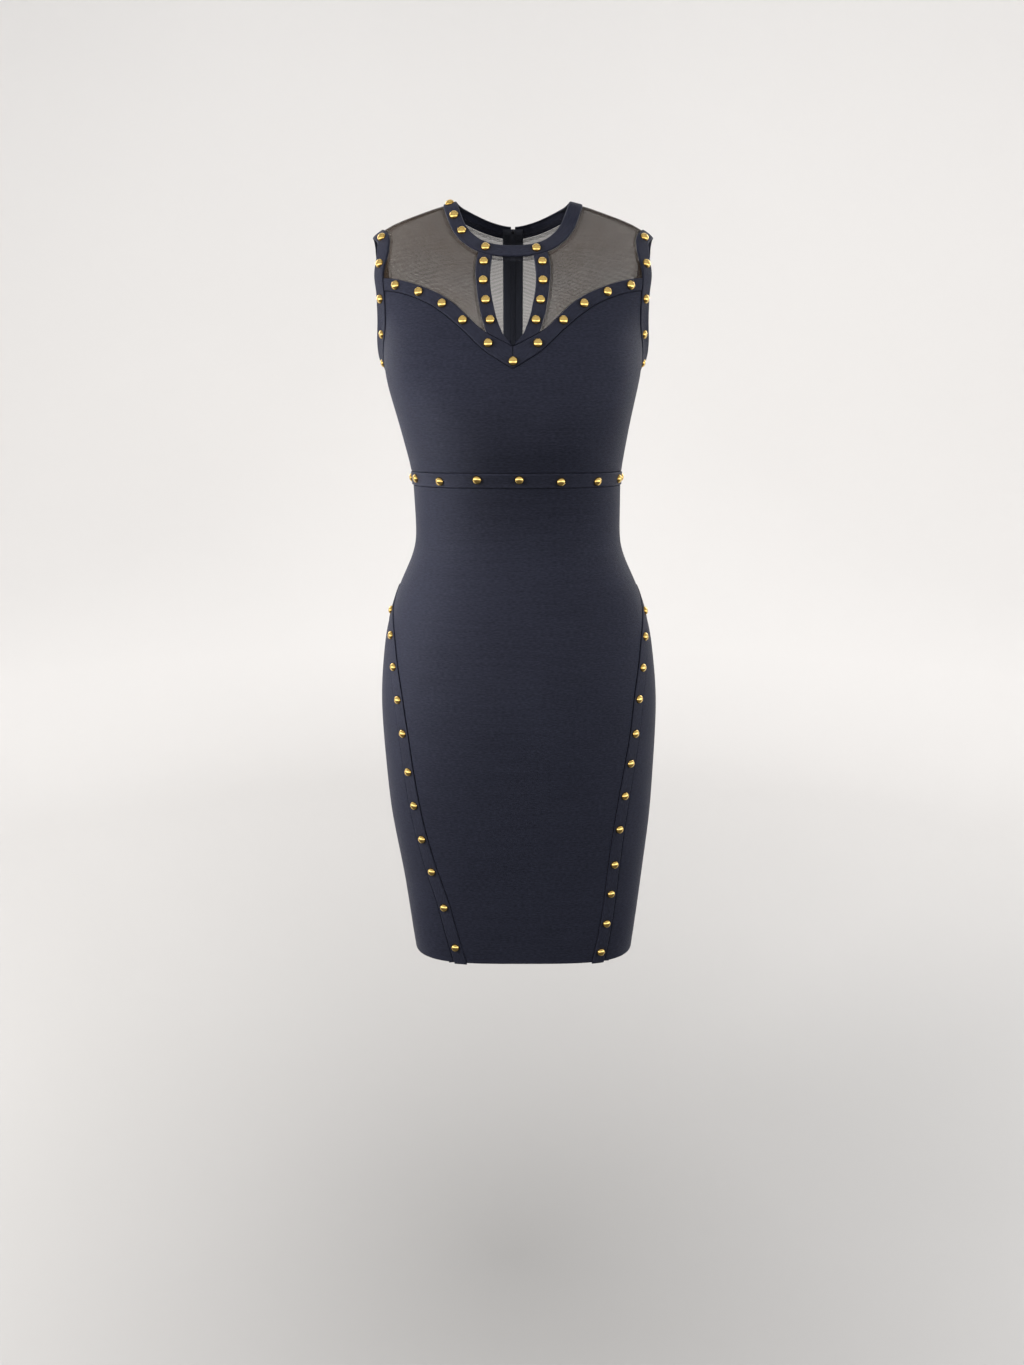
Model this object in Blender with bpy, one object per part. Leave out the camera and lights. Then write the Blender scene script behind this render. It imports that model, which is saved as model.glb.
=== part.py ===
"""Bodycon dress with studded bands, worn shape, in metres.

The cloth lies on a smooth figure.  Every seam is a line on that figure, given by
two numbers: turn (0 at the front centre, 0.5 at the side, 1 at the back centre)
and reach (metres below the shoulder line, and on over the shoulders to the neck).
Each cut piece is the wall between its seams.  Height zero is the shoulder line
beside the neck, and the front faces -Y.
"""
import bmesh
import bpy
import numpy as np
from math import cos, pi, sin, tau
from mathutils import Matrix, Vector
from mathutils.geometry import delaunay_2d_cdt

# ---------------------------------------------------------------- sizes, metres
LENGTH = 0.907              # shoulder line to hem
PANEL_WALL = 0.0012         # single knit or mesh
BAND_WALL = 0.0022          # doubled knit band
BAND_WIDTH = 0.016
SEAM_GAP = 0.0003           # between neighbouring pieces
STUD_RADIUS = 0.0052
STUD_HEIGHT = 0.0040
STUD_SIDES = 8

WAIST_DROP = 0.3052         # middle of the waistband
BACK_YOKE_DROP = 0.140      # seam across the back
ZIP_END_DROP = 0.470
TAPE_WIDTH = 0.012
TAPE_WALL = 0.0009
TAPE_GAP = 0.0005

# the figure at each drop: half width, depth to the front and to the back,
# how square the outline is (2 is an ellipse), and sideways lean
FORM_COLUMNS = ("drop", "side", "front", "back", "square", "lean")
FORM = (
    (-0.030, 0.0570, 0.0340, 0.0430, 2.0, 0.0000),
    (0.0000, 0.0630, 0.0360, 0.0460, 2.0, 0.0000),
    (0.0020, 0.0750, 0.0365, 0.0475, 1.9, 0.0000),
    (0.0120, 0.1100, 0.0375, 0.0540, 1.7, 0.0000),
    (0.0245, 0.1415, 0.0400, 0.0630, 1.8, 0.0000),
    (0.0370, 0.1590, 0.0465, 0.0715, 2.0, 0.0000),
    (0.0540, 0.1655, 0.0590, 0.0800, 2.3, 0.0000),
    (0.0800, 0.1645, 0.0770, 0.0880, 2.6, 0.0000),
    (0.1040, 0.1600, 0.0900, 0.0930, 2.5, 0.0000),
    (0.1380, 0.1530, 0.1055, 0.0980, 2.4, 0.0000),
    (0.1680, 0.1500, 0.1165, 0.1000, 2.6, 0.0000),
    (0.1970, 0.1452, 0.1250, 0.0990, 2.9, 0.0000),
    (0.2270, 0.1378, 0.1305, 0.0970, 2.9, 0.0010),
    (0.2650, 0.1303, 0.1260, 0.0920, 2.5, 0.0027),
    (0.3080, 0.1233, 0.1075, 0.0860, 2.4, 0.0045),
    (0.3750, 0.1227, 0.0920, 0.0800, 2.3, 0.0060),
    (0.4450, 0.1488, 0.1000, 0.0940, 2.3, 0.0063),
    (0.5020, 0.1645, 0.1070, 0.1120, 2.3, 0.0066),
    (0.5850, 0.1716, 0.1120, 0.1230, 2.4, 0.0075),
    (0.7070, 0.1661, 0.1040, 0.1100, 2.7, 0.0095),
    (0.8200, 0.1520, 0.0930, 0.0960, 3.1, 0.0130),
    (0.9070, 0.1411, 0.0850, 0.0880, 3.6, 0.0138),
    (0.9300, 0.1380, 0.0830, 0.0860, 3.6, 0.0140),
)
CHEST = 0.120               # above this drop, reach is measured by angle
CHEST_RADIUS = 0.150        # from the middle of the chest
FAN = (3.0, 2.0)            # how turn is shared between the sides and the front
HALF_GIRTH = 0.43           # mean, for spacing points evenly

# middle of the neckband: distance from the centre line, and drop
NECK_FRONT = ((0.0, 0.0600), (0.020, 0.0586), (0.0365, 0.0535), (0.050, 0.0440),
              (0.0600, 0.0312), (0.0665, 0.0155))
NECK_SHOULDER = 0.0012      # drop where it crosses the shoulder line
NECK_BACK = ((0.0600, 0.0045), (0.045, 0.0105), (0.025, 0.0165), (0.0, 0.0200))

# edges of the keyhole band: drop, opening edge and yoke edge from the centre
KEYHOLE_COLUMNS = ("drop", "opening", "yoke")
KEYHOLE = (
    (0.0540, 0.0215, 0.0360),
    (0.0660, 0.0225, 0.0392),
    (0.0765, 0.0240, 0.0407),
    (0.0970, 0.0245, 0.0397),
    (0.1110, 0.0226, 0.0380),
    (0.1236, 0.0200, 0.0358),
    (0.1415, 0.0146, 0.0310),
    (0.1510, 0.0104, 0.0284),
    (0.1640, 0.0000, 0.0250),
)

# edges of the sweetheart band: distance from the centre, upper and lower drop
SWEETHEART_COLUMNS = ("out", "upper", "lower")
SWEETHEART = (
    (0.0000, 0.1640, 0.1870),
    (0.0285, 0.1490, 0.1695),
    (0.0550, 0.1253, 0.1450),
    (0.0775, 0.1080, 0.1262),
    (0.1040, 0.0960, 0.1108),
    (0.1280, 0.0885, 0.1022),
    (0.1480, 0.0850, 0.0985),
)

# middle of the armhole band, an oval seen from the side
ARMHOLE_DROP = 0.1050
ARMHOLE_HEIGHT = 0.0725
ARMHOLE_FRONT = 0.0455
ARMHOLE_BACK = 0.0475

# middle of the curved skirt bands: drop, and turn on the -X and +X side
SKIRT_BAND_COLUMNS = ("drop", "minus_x", "plus_x")
SKIRT_BAND = (
    (0.4250, 0.5600, 0.5700),
    (0.4460, 0.5000, 0.5000),
    (0.4620, 0.4500, 0.4380),
    (0.4900, 0.3720, 0.3660),
    (0.5270, 0.3320, 0.3265),
    (0.5650, 0.3010, 0.2960),
    (0.6060, 0.2820, 0.2790),
    (0.6500, 0.2710, 0.2625),
    (0.6900, 0.2620, 0.2500),
    (0.7350, 0.2490, 0.2395),
    (0.7800, 0.2340, 0.2335),
    (0.8250, 0.2140, 0.2300),
    (0.8650, 0.2000, 0.2235),
    (0.9200, 0.1800, 0.2110),
)

# studs sit along the middle of each band, at these distances from its start,
# on the -X side and on the +X side where the two differ
NECK_STUDS = {-1: (0.0310, 0.0689, 0.0929, 0.1140, 0.1440, 0.1740, 0.2040),
              1: (0.0260, 0.1440, 0.1740, 0.2040)}
KEYHOLE_STUDS = (0.0121, 0.0361, 0.0601, 0.0841)
SWEETHEART_STUDS = (0.0310, 0.0700, 0.1015, 0.1335, 0.1650)
SKIRT_STUDS = {-1: (0.0275, 0.0645, 0.1035, 0.1435, 0.1845, 0.2325, 0.2755,
                    0.3195, 0.3635, 0.4135, 0.4700),
               1: (0.0310, 0.0673, 0.1053, 0.1433, 0.1853, 0.2223, 0.2633,
                   0.3063, 0.3533, 0.3933, 0.4343, 0.4743)}
ARMHOLE_FIRST_STUD, ARMHOLE_STUDS = 0.0215, 10    # then evenly round the band
WAIST_FIRST_STUD, WAIST_PITCH = 0.0025, 0.0465    # from the front centre
WAIST_ZIP_SHARE = 1 / 3     # of a pitch, kept clear on each side of the zip
WAIST_LIFTS = {-3: 0.0008, -2: -0.0010, -1: 0.0016, 0: 0.0016, 1: -0.0008, 2: -0.0012}
CENTRE_STUD_DROP = 0.1795

# spacing of points along seams and over panels
SEAM_STEP = 0.0150
LONG_STEP = 0.0240
LATTICE = 0.0250
LATTICE_ROW = 0.87          # of the spacing, from row to row
LATTICE_CLEAR = 0.55        # of the spacing, kept from every seam
FINE_STEP = 0.0020          # along a line that only places studs
LINE_POINTS = 240           # of a smooth line before it is divided evenly
RING_POINTS = 360
SHARP_ANGLE = 0.7           # radians between faces that stay crisp

# rings of a stud: share of its radius, share of its height
STUD_RINGS = ((1.0, 0.0), (0.78, 0.64), (0.0, 1.0))
CENTRE_STUD_SIDES = 12
CENTRE_STUD_RINGS = ((1.0, 0.0), (1.0, 0.15), (0.78, 0.7))

# zip slider and pull tab
SLIDER = {"width": 0.0042, "length": 0.0080, "inside": 0.0016, "outside": 0.0026}
SLOT = 0.0022               # from the back centre to each end of the neckband
EAR = {"inner": 0.0011, "outer": 0.0019, "top": 0.0054, "half_length": 0.0012}
PIN = {"radius": 0.00045, "height": 0.0044, "half_length": 0.0015}
PULL = {"hole": 0.00075, "ring": 0.0015, "half_width": 0.0008, "tab_half": 0.0022,
        "tab_wall": 0.0009, "tab_start": 0.0036, "length": 0.0190}
JOIN = 0.0004               # how far joined shapes run into each other

MATERIALS = {
    "knit": ((0.022, 0.025, 0.040), 0.62, 0.0),
    "band": ((0.020, 0.023, 0.036), 0.58, 0.0),
    "mesh": ((0.055, 0.052, 0.055), 0.70, 0.0),
    "gold": ((0.80, 0.56, 0.16), 0.22, 1.0),
    "tape": ((0.018, 0.020, 0.030), 0.75, 0.0),
    "zip_metal": ((0.05, 0.05, 0.06), 0.35, 1.0),
}


# ---------------------------------------------------------------- smooth curves
def gentle_slopes(place, value):
    """Slopes of a smooth curve through rows, which never overshoots them."""
    step = np.diff(place)
    rise = np.diff(value) / step
    same = rise[:-1] * rise[1:] > 0
    before = np.where(same, rise[:-1], 1.0)
    after = np.where(same, rise[1:], 1.0)
    near, far = 2 * step[1:] + step[:-1], step[1:] + 2 * step[:-1]
    inner = np.where(same, (near + far) / (near / before + far / after), 0.0)
    return np.concatenate(([rise[0]], inner, [rise[-1]]))


def round_slopes(place, value):
    """Slopes of a curve that swings freely through its points."""
    rise = np.diff(value) / np.diff(place)
    step = np.diff(place)
    inner = (rise[:-1] * step[1:] + rise[1:] * step[:-1]) / (step[1:] + step[:-1])
    return np.concatenate(([rise[0]], inner, [rise[-1]]))


def read_curve(place, value, slope, at):
    """The smooth curve through (place, value) with these slopes, read at places."""
    at = np.clip(at, place[0], place[-1])
    row = np.clip(np.searchsorted(place, at, side="right") - 1, 0, len(place) - 2)
    step = place[row + 1] - place[row]
    t = (at - place[row]) / step
    return (value[row] * (1 + 2 * t) * (1 - t) ** 2
            + slope[row] * step * t * (1 - t) ** 2
            + value[row + 1] * t * t * (3 - 2 * t)
            + slope[row + 1] * step * t * t * (t - 1))


FORM_ROWS = np.array(FORM).T
FORM_SLOPES = [gentle_slopes(FORM_ROWS[0], column) for column in FORM_ROWS]


def form_at(name, drop):
    """One column of the figure at these drops."""
    column = FORM_COLUMNS.index(name)
    return read_curve(FORM_ROWS[0], FORM_ROWS[column], FORM_SLOPES[column], drop)


# ------------------------------------------------------------------- the figure
def depth_inside(points):
    """Below zero inside the figure, zero on it, above zero outside."""
    drop = -points[:, 2]
    depth = np.where(points[:, 1] < 0, form_at("front", drop), form_at("back", drop))
    square = form_at("square", drop)
    across = np.abs(points[:, 0] - form_at("lean", drop)) / form_at("side", drop)
    return across ** square + (np.abs(points[:, 1]) / depth) ** square - 1


def on_form(line):
    """Points in space for rows of (turn, reach)."""
    turn, reach = np.asarray(line, float).T
    way = np.stack([FAN[0] * np.sin(turn * pi), -FAN[1] * np.cos(turn * pi)], 1)
    way /= np.linalg.norm(way, axis=1)[:, None]
    tilt = np.clip((CHEST - reach) / CHEST_RADIUS, 0, None)
    drop = np.maximum(reach, CHEST)
    start = np.stack([form_at("lean", drop), 0 * drop, -drop], 1)
    ray = np.stack([way[:, 0] * np.cos(tilt), way[:, 1] * np.cos(tilt), np.sin(tilt)], 1)
    near, far = np.zeros(len(turn)), np.full(len(turn), 0.35)
    for _ in range(40):
        middle = (near + far) / 2
        within = depth_inside(start + ray * middle[:, None]) < 0
        near = np.where(within, middle, near)
        far = np.where(within, far, middle)
    return start + ray * near[:, None]


def on_chart(points):
    """Rows of (turn, reach) for points near the figure."""
    drop = np.maximum(-points[:, 2], CHEST)
    across = points[:, 0] - form_at("lean", drop)
    turn = np.arctan2(across / FAN[0], -points[:, 1] / FAN[1]) / pi
    tilt = np.arctan2(points[:, 2] + CHEST, np.hypot(across, points[:, 1]))
    reach = np.where(points[:, 2] <= -CHEST, -points[:, 2], CHEST - CHEST_RADIUS * tilt)
    return np.stack([turn, reach], 1)


def outward(points):
    """Unit vectors that point straight out of the figure."""
    small = 1e-5
    slope = np.stack([depth_inside(points + step) - depth_inside(points - step)
                      for step in np.eye(3) * small], 1)
    return slope / np.linalg.norm(slope, axis=1)[:, None]


def seen_from_front(rows, back=False):
    """Rows of (distance from the centre, drop) as rows of (turn, reach)."""
    out, drop = np.asarray(rows, float).T
    depth = form_at("back" if back else "front", drop)
    square = form_at("square", drop)
    share = np.clip(1 - (out / form_at("side", drop)) ** square, 0, None)
    deep = depth * share ** (1 / square) * (1 if back else -1)
    return on_chart(np.stack([out + form_at("lean", drop), deep, -drop], 1))


def seen_from_side(deep, drop):
    """Points of the +X side at these depths and drops, as (turn, reach)."""
    depth = np.where(deep < 0, form_at("front", drop), form_at("back", drop))
    square = form_at("square", drop)
    share = np.clip(1 - (np.abs(deep) / depth) ** square, 0, None)
    out = form_at("side", drop) * share ** (1 / square)
    return on_chart(np.stack([out + form_at("lean", drop), deep, -drop], 1))


# ------------------------------------------------------------ lines on the form
def flat(line):
    """The chart as a flat sheet, right and up, close to real size."""
    return np.stack([line[:, 0] * HALF_GIRTH, -line[:, 1]], 1)


def lengths(line):
    """Distance along a line to each of its points."""
    steps = np.linalg.norm(np.diff(on_form(line), axis=0), axis=1)
    return np.concatenate(([0.0], np.cumsum(steps)))


def smooth_line(knots, count=LINE_POINTS):
    """A smooth line through knots on the chart."""
    knots = np.asarray(knots, float)
    steps = np.linalg.norm(np.diff(flat(knots), axis=0), axis=1)
    place = np.concatenate(([0.0], np.cumsum(steps)))
    at = np.linspace(0, place[-1], count)
    return np.stack([read_curve(place, column, round_slopes(place, column), at)
                     for column in knots.T], 1)


def shifted(line, amount, ring=False):
    """The line moved over the figure, to the left of its way when positive."""
    points = on_form(line)
    if ring:
        wrapped = np.concatenate([points[-2:-1], points, points[1:2]])
        along = wrapped[2:] - wrapped[:-2]
    else:
        along = np.gradient(points, axis=0)
    sideways = np.cross(outward(points), along)
    sideways /= np.linalg.norm(sideways, axis=1)[:, None]
    return on_chart(points + sideways * amount)


def read_line(line, place):
    """The chart point at a fractional index of a line."""
    index = np.arange(len(line))
    return np.stack([np.interp(place, index, column) for column in line.T], -1)


def crossing(line, other):
    """Fractional index along the line where it first crosses the other one."""
    start, along = line[:-1, None], np.diff(line, axis=0)[:, None]
    base, across = other[None, :-1], np.diff(other, axis=0)[None]
    cross = along[..., 0] * across[..., 1] - along[..., 1] * across[..., 0]
    cross = np.where(np.abs(cross) < 1e-15, 1e-15, cross)
    gap = base - start
    here = (gap[..., 0] * across[..., 1] - gap[..., 1] * across[..., 0]) / cross
    there = (gap[..., 0] * along[..., 1] - gap[..., 1] * along[..., 0]) / cross
    found = np.argwhere((here >= 0) & (here <= 1) & (there >= 0) & (there <= 1))
    first = found[0]
    return first[0] + here[tuple(first)]


def stretch(line, start, stop, step=SEAM_STEP, ring=False):
    """Evenly spaced points of a line from one fractional index to another."""
    last = len(line) - 1
    if ring and stop < start:
        stop += last
        line = np.concatenate([line, line[1:]])
    dense = read_line(line, np.linspace(start, stop, LINE_POINTS))
    along = lengths(dense)
    count = max(2, round(along[-1] / step) + 1)
    at = np.linspace(0, along[-1], count)
    return np.stack([np.interp(at, along, column) for column in dense.T], 1)


def straight(turn_from, reach_from, turn_to, reach_to, step=LONG_STEP):
    """Evenly spaced points of a straight chart line."""
    ends = np.array([[turn_from, reach_from], [turn_to, reach_to]])
    return stretch(ends, 0, 1, step)


def chain(*arcs):
    """Arcs end to end as one closed outline, without repeated points."""
    return np.concatenate([arc[:-1] for arc in arcs])


def across_chart(turn):
    """The whole line at one turn, from above the neck to the hem."""
    return np.array([[turn, -CHEST], [turn, LENGTH]])


# ----------------------------------------------------------- the lines of seams
def neck_lines():
    """Middle, upper and lower edge of the neckband, front centre to back centre."""
    front = seen_from_front(NECK_FRONT)
    shoulder = seen_from_side(np.array([0.0]), np.array([NECK_SHOULDER]))
    back = seen_from_front(NECK_BACK, back=True)
    knots = np.concatenate([front, shoulder, back])
    before = knots[1] * (-1, 1)
    after = knots[-2] * (-1, 1) + (2, 0)
    middle = smooth_line(np.concatenate([[before], knots, [after]]), 2 * LINE_POINTS)
    middle = stretch(middle, crossing(middle, across_chart(0.0)),
                     crossing(middle, across_chart(1.0)), FINE_STEP / 2)
    edges = [middle, shifted(middle, BAND_WIDTH / 2), shifted(middle, -BAND_WIDTH / 2)]
    for edge in edges:
        edge[0, 0], edge[-1, 0] = 0.0, 1.0
    return edges


def armhole_lines():
    """Middle, opening edge and seam of the armhole band, top to front to bottom."""
    around = np.linspace(0, tau, RING_POINTS + 1)
    depth = np.where(np.sin(around) > 0, ARMHOLE_FRONT, ARMHOLE_BACK)
    middle = seen_from_side(-depth * np.sin(around),
                            ARMHOLE_DROP - ARMHOLE_HEIGHT * np.cos(around))
    opening = shifted(middle, BAND_WIDTH / 2, ring=True)
    seam = shifted(middle, -BAND_WIDTH / 2, ring=True)
    return middle, opening, seam


def skirt_band_lines(side):
    """Middle, inner and outer edge of one curved skirt band, top to hem."""
    rows = np.array(SKIRT_BAND)
    column = SKIRT_BAND_COLUMNS.index("plus_x" if side > 0 else "minus_x")
    middle = smooth_line(rows[:, [column, 0]])
    return middle, shifted(middle, -BAND_WIDTH / 2), shifted(middle, BAND_WIDTH / 2)


def side_arcs(side):
    """Every seam of one side as evenly spaced points, keyed by name."""
    keyhole, heart = np.array(KEYHOLE), np.array(SWEETHEART)
    neck_mid, neck_in, neck_out = neck_lines()
    arm_mid, arm_edge, arm_seam = armhole_lines()
    skirt_mid, skirt_in, skirt_out = skirt_band_lines(side)
    key_in = smooth_line(seen_from_front(keyhole[:, [1, 0]]))
    key_out = smooth_line(seen_from_front(keyhole[:, [2, 0]]))
    heart_up = smooth_line(seen_from_front(heart[:, [0, 1]]))
    heart_low = smooth_line(seen_from_front(heart[:, [0, 2]]))
    side_line = across_chart(0.5)
    yoke_line = np.array([[1.0, BACK_YOKE_DROP], [0.4, BACK_YOKE_DROP]])
    hem_line = np.array([[1.0, LENGTH], [0.0, LENGTH]])
    waist_top = WAIST_DROP - BAND_WIDTH / 2
    waist_low = WAIST_DROP + BAND_WIDTH / 2

    half, quarter = RING_POINTS // 2, RING_POINTS // 4
    top = crossing(arm_seam[:quarter], side_line)
    upper = crossing(arm_seam, heart_up)
    lower = crossing(arm_seam, heart_low)
    under = crossing(arm_seam[quarter:], side_line) + quarter
    behind = crossing(arm_seam[half:], yoke_line) + half
    neck_ridge = crossing(neck_out, side_line)
    neck_key_in = crossing(neck_out, key_in)
    neck_key_out = crossing(neck_out, key_out)
    key_foot = crossing(heart_up, key_out)
    strap_top = crossing(skirt_in, side_line)
    strap_foot = crossing(skirt_out, side_line)
    in_hem, out_hem = crossing(skirt_in, hem_line), crossing(skirt_out, hem_line)
    top_point, under_point = read_line(arm_seam, top), read_line(arm_seam, under)
    last = len(neck_out) - 1

    def part(line, start, stop, step=SEAM_STEP, ring=False):
        return stretch(line, start, stop, step, ring)

    arcs = {
        "neck_keyhole": part(neck_out, 0, neck_key_in),
        "neck_key_band": part(neck_out, neck_key_in, neck_key_out),
        "neck_front": part(neck_out, neck_key_out, neck_ridge),
        "neck_back": part(neck_out, neck_ridge, last),
        "neck_edge": part(neck_in, 0, last),
        "shoulder": straight(0.5, read_line(neck_out, neck_ridge)[1],
                             0.5, top_point[1], SEAM_STEP),
        "key_in": part(key_in, crossing(key_in, neck_out), len(key_in) - 1),
        "key_out": part(key_out, crossing(key_out, neck_out), crossing(key_out, heart_up)),
        "heart_key": part(heart_up, 0, key_foot),
        "heart_up": part(heart_up, key_foot, crossing(heart_up, arm_seam)),
        "heart_low": part(heart_low, 0, crossing(heart_low, arm_seam)),
        "mitre": np.stack([heart_up[0], heart_low[0]]),
        "arm_yoke": part(arm_seam, top, upper),
        "arm_heart": part(arm_seam, upper, lower),
        "arm_front": part(arm_seam, lower, under),
        "arm_back": part(arm_seam, under, behind),
        "arm_back_yoke": part(arm_seam, behind, top, ring=True),
        "arm_edge": part(arm_edge, 0, len(arm_edge) - 1),
        "back_yoke": straight(1.0, BACK_YOKE_DROP, read_line(arm_seam, behind)[0],
                              BACK_YOKE_DROP),
        "side_top": straight(0.5, under_point[1], 0.5, waist_top),
        "side_hip": straight(0.5, waist_low, 0.5, read_line(skirt_in, strap_top)[1]),
        "side_band": straight(0.5, read_line(skirt_in, strap_top)[1],
                              0.5, read_line(skirt_out, strap_foot)[1]),
        "side_low": straight(0.5, read_line(skirt_out, strap_foot)[1], 0.5, LENGTH),
        "waist_up_front": straight(0.0, waist_top, 0.5, waist_top, SEAM_STEP),
        "waist_up_back": straight(0.5, waist_top, 1.0, waist_top, SEAM_STEP),
        "waist_low_front": straight(0.0, waist_low, 0.5, waist_low, SEAM_STEP),
        "waist_low_back": straight(0.5, waist_low, 1.0, waist_low, SEAM_STEP),
        "skirt_in": part(skirt_in, strap_top, in_hem, LONG_STEP),
        "skirt_out": part(skirt_out, strap_foot, out_hem, LONG_STEP),
        "hem_front": straight(0.0, LENGTH, read_line(skirt_in, in_hem)[0], LENGTH),
        "hem_band": straight(read_line(skirt_in, in_hem)[0], LENGTH,
                             read_line(skirt_out, out_hem)[0], LENGTH),
        "hem_side": straight(read_line(skirt_out, out_hem)[0], LENGTH, 0.5, LENGTH),
        "hem_back": straight(0.5, LENGTH, 1.0, LENGTH),
        "centre_yoke": straight(1.0, neck_out[-1, 1], 1.0, BACK_YOKE_DROP),
        "centre_bodice": straight(1.0, BACK_YOKE_DROP, 1.0, waist_top),
        "centre_waist": straight(1.0, waist_top, 1.0, waist_low),
        "centre_zip": straight(1.0, waist_low, 1.0, ZIP_END_DROP),
        "centre_skirt": straight(1.0, ZIP_END_DROP, 1.0, LENGTH),
        "neck_middle": neck_mid,
        "arm_middle": arm_mid,
        "skirt_middle": skirt_mid,
        "key_middle": smooth_line(seen_from_front(np.stack(
            [keyhole[:, 1:3].mean(axis=1), keyhole[:, 0]], 1))),
        "heart_middle": smooth_line(seen_from_front(np.stack(
            [heart[:, 0], heart[:, 1:3].mean(axis=1)], 1))),
    }
    return {name: arc * (side, 1) for name, arc in arcs.items()}


# --------------------------------------------------------------------- the walls
def way_round(loop):
    """Twice the area that a flat loop goes round, above zero when leftwards."""
    following = np.roll(loop, -1, axis=0)
    return np.sum(loop[:, 0] * following[:, 1] - following[:, 0] * loop[:, 1])


def drawn_in(loop, amount):
    """A closed outline moved into its own piece, with mitred corners."""
    points = on_form(loop)
    out = outward(points)
    ahead = np.roll(points, -1, axis=0) - points
    ahead /= np.linalg.norm(ahead, axis=1)[:, None]
    behind = np.roll(ahead, 1, axis=0)
    left, right = np.cross(out, behind), np.cross(out, ahead)
    share = 1 + np.sum(left * right, axis=1)
    moved = points + (left + right) / np.maximum(share, 0.3)[:, None] * amount
    chart = on_chart(moved)
    seam = np.sign(loop[:, 0])
    chart[:, 0] = np.where(np.abs(loop[:, 0]) > 0.9, np.abs(chart[:, 0]) * seam, chart[:, 0])
    return chart


def within(points, loops):
    """Whether flat points lie inside the outline and outside its holes."""
    odd = np.zeros(len(points), bool)
    for loop in loops:
        start, stop = loop, np.roll(loop, -1, axis=0)
        for (x0, y0), (x1, y1) in zip(start, stop):
            spans = (y0 > points[:, 1]) != (y1 > points[:, 1])
            rise = (y1 - y0) if y1 != y0 else 1e-12
            odd ^= spans & (points[:, 0] < (x1 - x0) * (points[:, 1] - y0) / rise + x0)
    return odd


def lattice_points(loops, spacing):
    """Evenly staggered chart points inside an outline, clear of its edge."""
    edge = np.concatenate(loops)
    low, high = edge.min(axis=0), edge.max(axis=0)
    rows = []
    for number, up in enumerate(np.arange(low[1], high[1], spacing * LATTICE_ROW)):
        across = np.arange(low[0] + spacing / 2 * (number % 2), high[0], spacing)
        rows.append(np.stack([across, np.full(len(across), up)], 1))
    spots = np.concatenate(rows)
    spots = spots[within(spots, loops)]
    gap = np.linalg.norm(spots[:, None] - edge[None], axis=2).min(axis=1)
    spots = spots[gap > spacing * LATTICE_CLEAR]
    return np.stack([spots[:, 0] / HALF_GIRTH, -spots[:, 1]], 1)


def stud_rings(spot):
    """Chart points and heights of one domed stud: rim, shoulder and crown."""
    centre = on_form(spot[None])
    out = outward(centre)[0]
    right = np.cross(Vector((0, 0, 1)), out)
    right /= np.linalg.norm(right)
    up = np.cross(out, right)
    rings = []
    for share, height in STUD_RINGS:
        angles = np.arange(STUD_SIDES if share else 1) * tau / STUD_SIDES
        offset = np.outer(np.cos(angles), right) + np.outer(np.sin(angles), up)
        chart = on_chart(centre + offset * STUD_RADIUS * share)
        rings.append((chart, height * STUD_HEIGHT))
    return rings


def sheet_faces(loops, inner_rings):
    """Corner points and triangles that fill an outline, through given points."""
    corners, edges = [], []
    for loop, closed in [(one, True) for one in loops] + inner_rings:
        first = sum(len(block) for block in corners)
        corners.append(loop)
        if closed:
            count = len(loop)
            edges += [(first + k, first + (k + 1) % count) for k in range(count)]
    chart = np.concatenate(corners)
    spots = flat(chart)
    made = delaunay_2d_cdt([Vector(spot) for spot in spots], edges, [], 0, 1e-9)
    same = {min(origins): new for new, origins in enumerate(made[3])}
    back = {new: old for old, new in same.items()}
    faces = np.array([[back[corner] for corner in face] for face in made[2]])
    middles = spots[faces].mean(axis=1)
    return chart, faces[within(middles, [flat(loop) for loop in loops])]


def wall(name, material, outline, hole=None, thick=PANEL_WALL, inside=0.0,
         studs=(), lattice=LATTICE, guides=None):
    """A piece of cloth between seams: a wall on the figure, with raised studs."""
    loops = [outline] if hole is None else [outline, hole]
    for number, loop in enumerate(loops):
        leftwards = way_round(flat(loop)) > 0
        if leftwards != (number == 0):
            loop = loop[::-1]
        loops[number] = drawn_in(loop, SEAM_GAP / 2)
    plain = []
    if lattice:
        plain.append((lattice_points([flat(loop) for loop in loops], lattice), False))
    if guides is not None:
        plain.append((guides, False))
    raised, heights = [], []
    for spot in studs:
        for chart, height in stud_rings(spot):
            raised.append((chart, len(chart) > 1))
            heights.append(np.full(len(chart), height))

    inner_chart, inner_faces = sheet_faces(loops, plain)
    outer_chart, outer_faces = sheet_faces(loops, plain + raised)
    lift = np.zeros(len(outer_chart))
    if raised:
        lift[-sum(len(block) for block in heights):] = np.concatenate(heights)
    under, over = on_form(inner_chart), on_form(outer_chart)
    under = under + outward(under) * inside
    over = over + outward(over) * (inside + thick + lift)[:, None]

    model = bmesh.new()
    under_verts = [model.verts.new(point) for point in under]
    over_verts = [model.verts.new(point) for point in over]
    for face in outer_faces:
        model.faces.new([over_verts[corner] for corner in face])
    for face in inner_faces:
        model.faces.new([under_verts[corner] for corner in reversed(face)])
    first = 0
    for loop in loops:
        count = len(loop)
        for k in range(count):
            here, there = first + k, first + (k + 1) % count
            model.faces.new((under_verts[here], under_verts[there],
                             over_verts[there], over_verts[here]))
        first += count
    return finish(name, material, model)


def finish(name, material, model, location=(0, 0, 0), tilt=0.0):
    """Make a named object of a bmesh, shaded smooth, with its material."""
    mesh = bpy.data.meshes.new(name)
    model.to_mesh(mesh)
    model.free()
    mesh.shade_smooth()
    mesh.set_sharp_from_angle(angle=SHARP_ANGLE)
    mesh.materials.append(bpy.data.materials[material])
    thing = bpy.data.objects.new(name, mesh)
    thing.location = location
    thing.rotation_euler = (tilt, 0, 0)
    bpy.context.scene.collection.objects.link(thing)
    return thing


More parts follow.
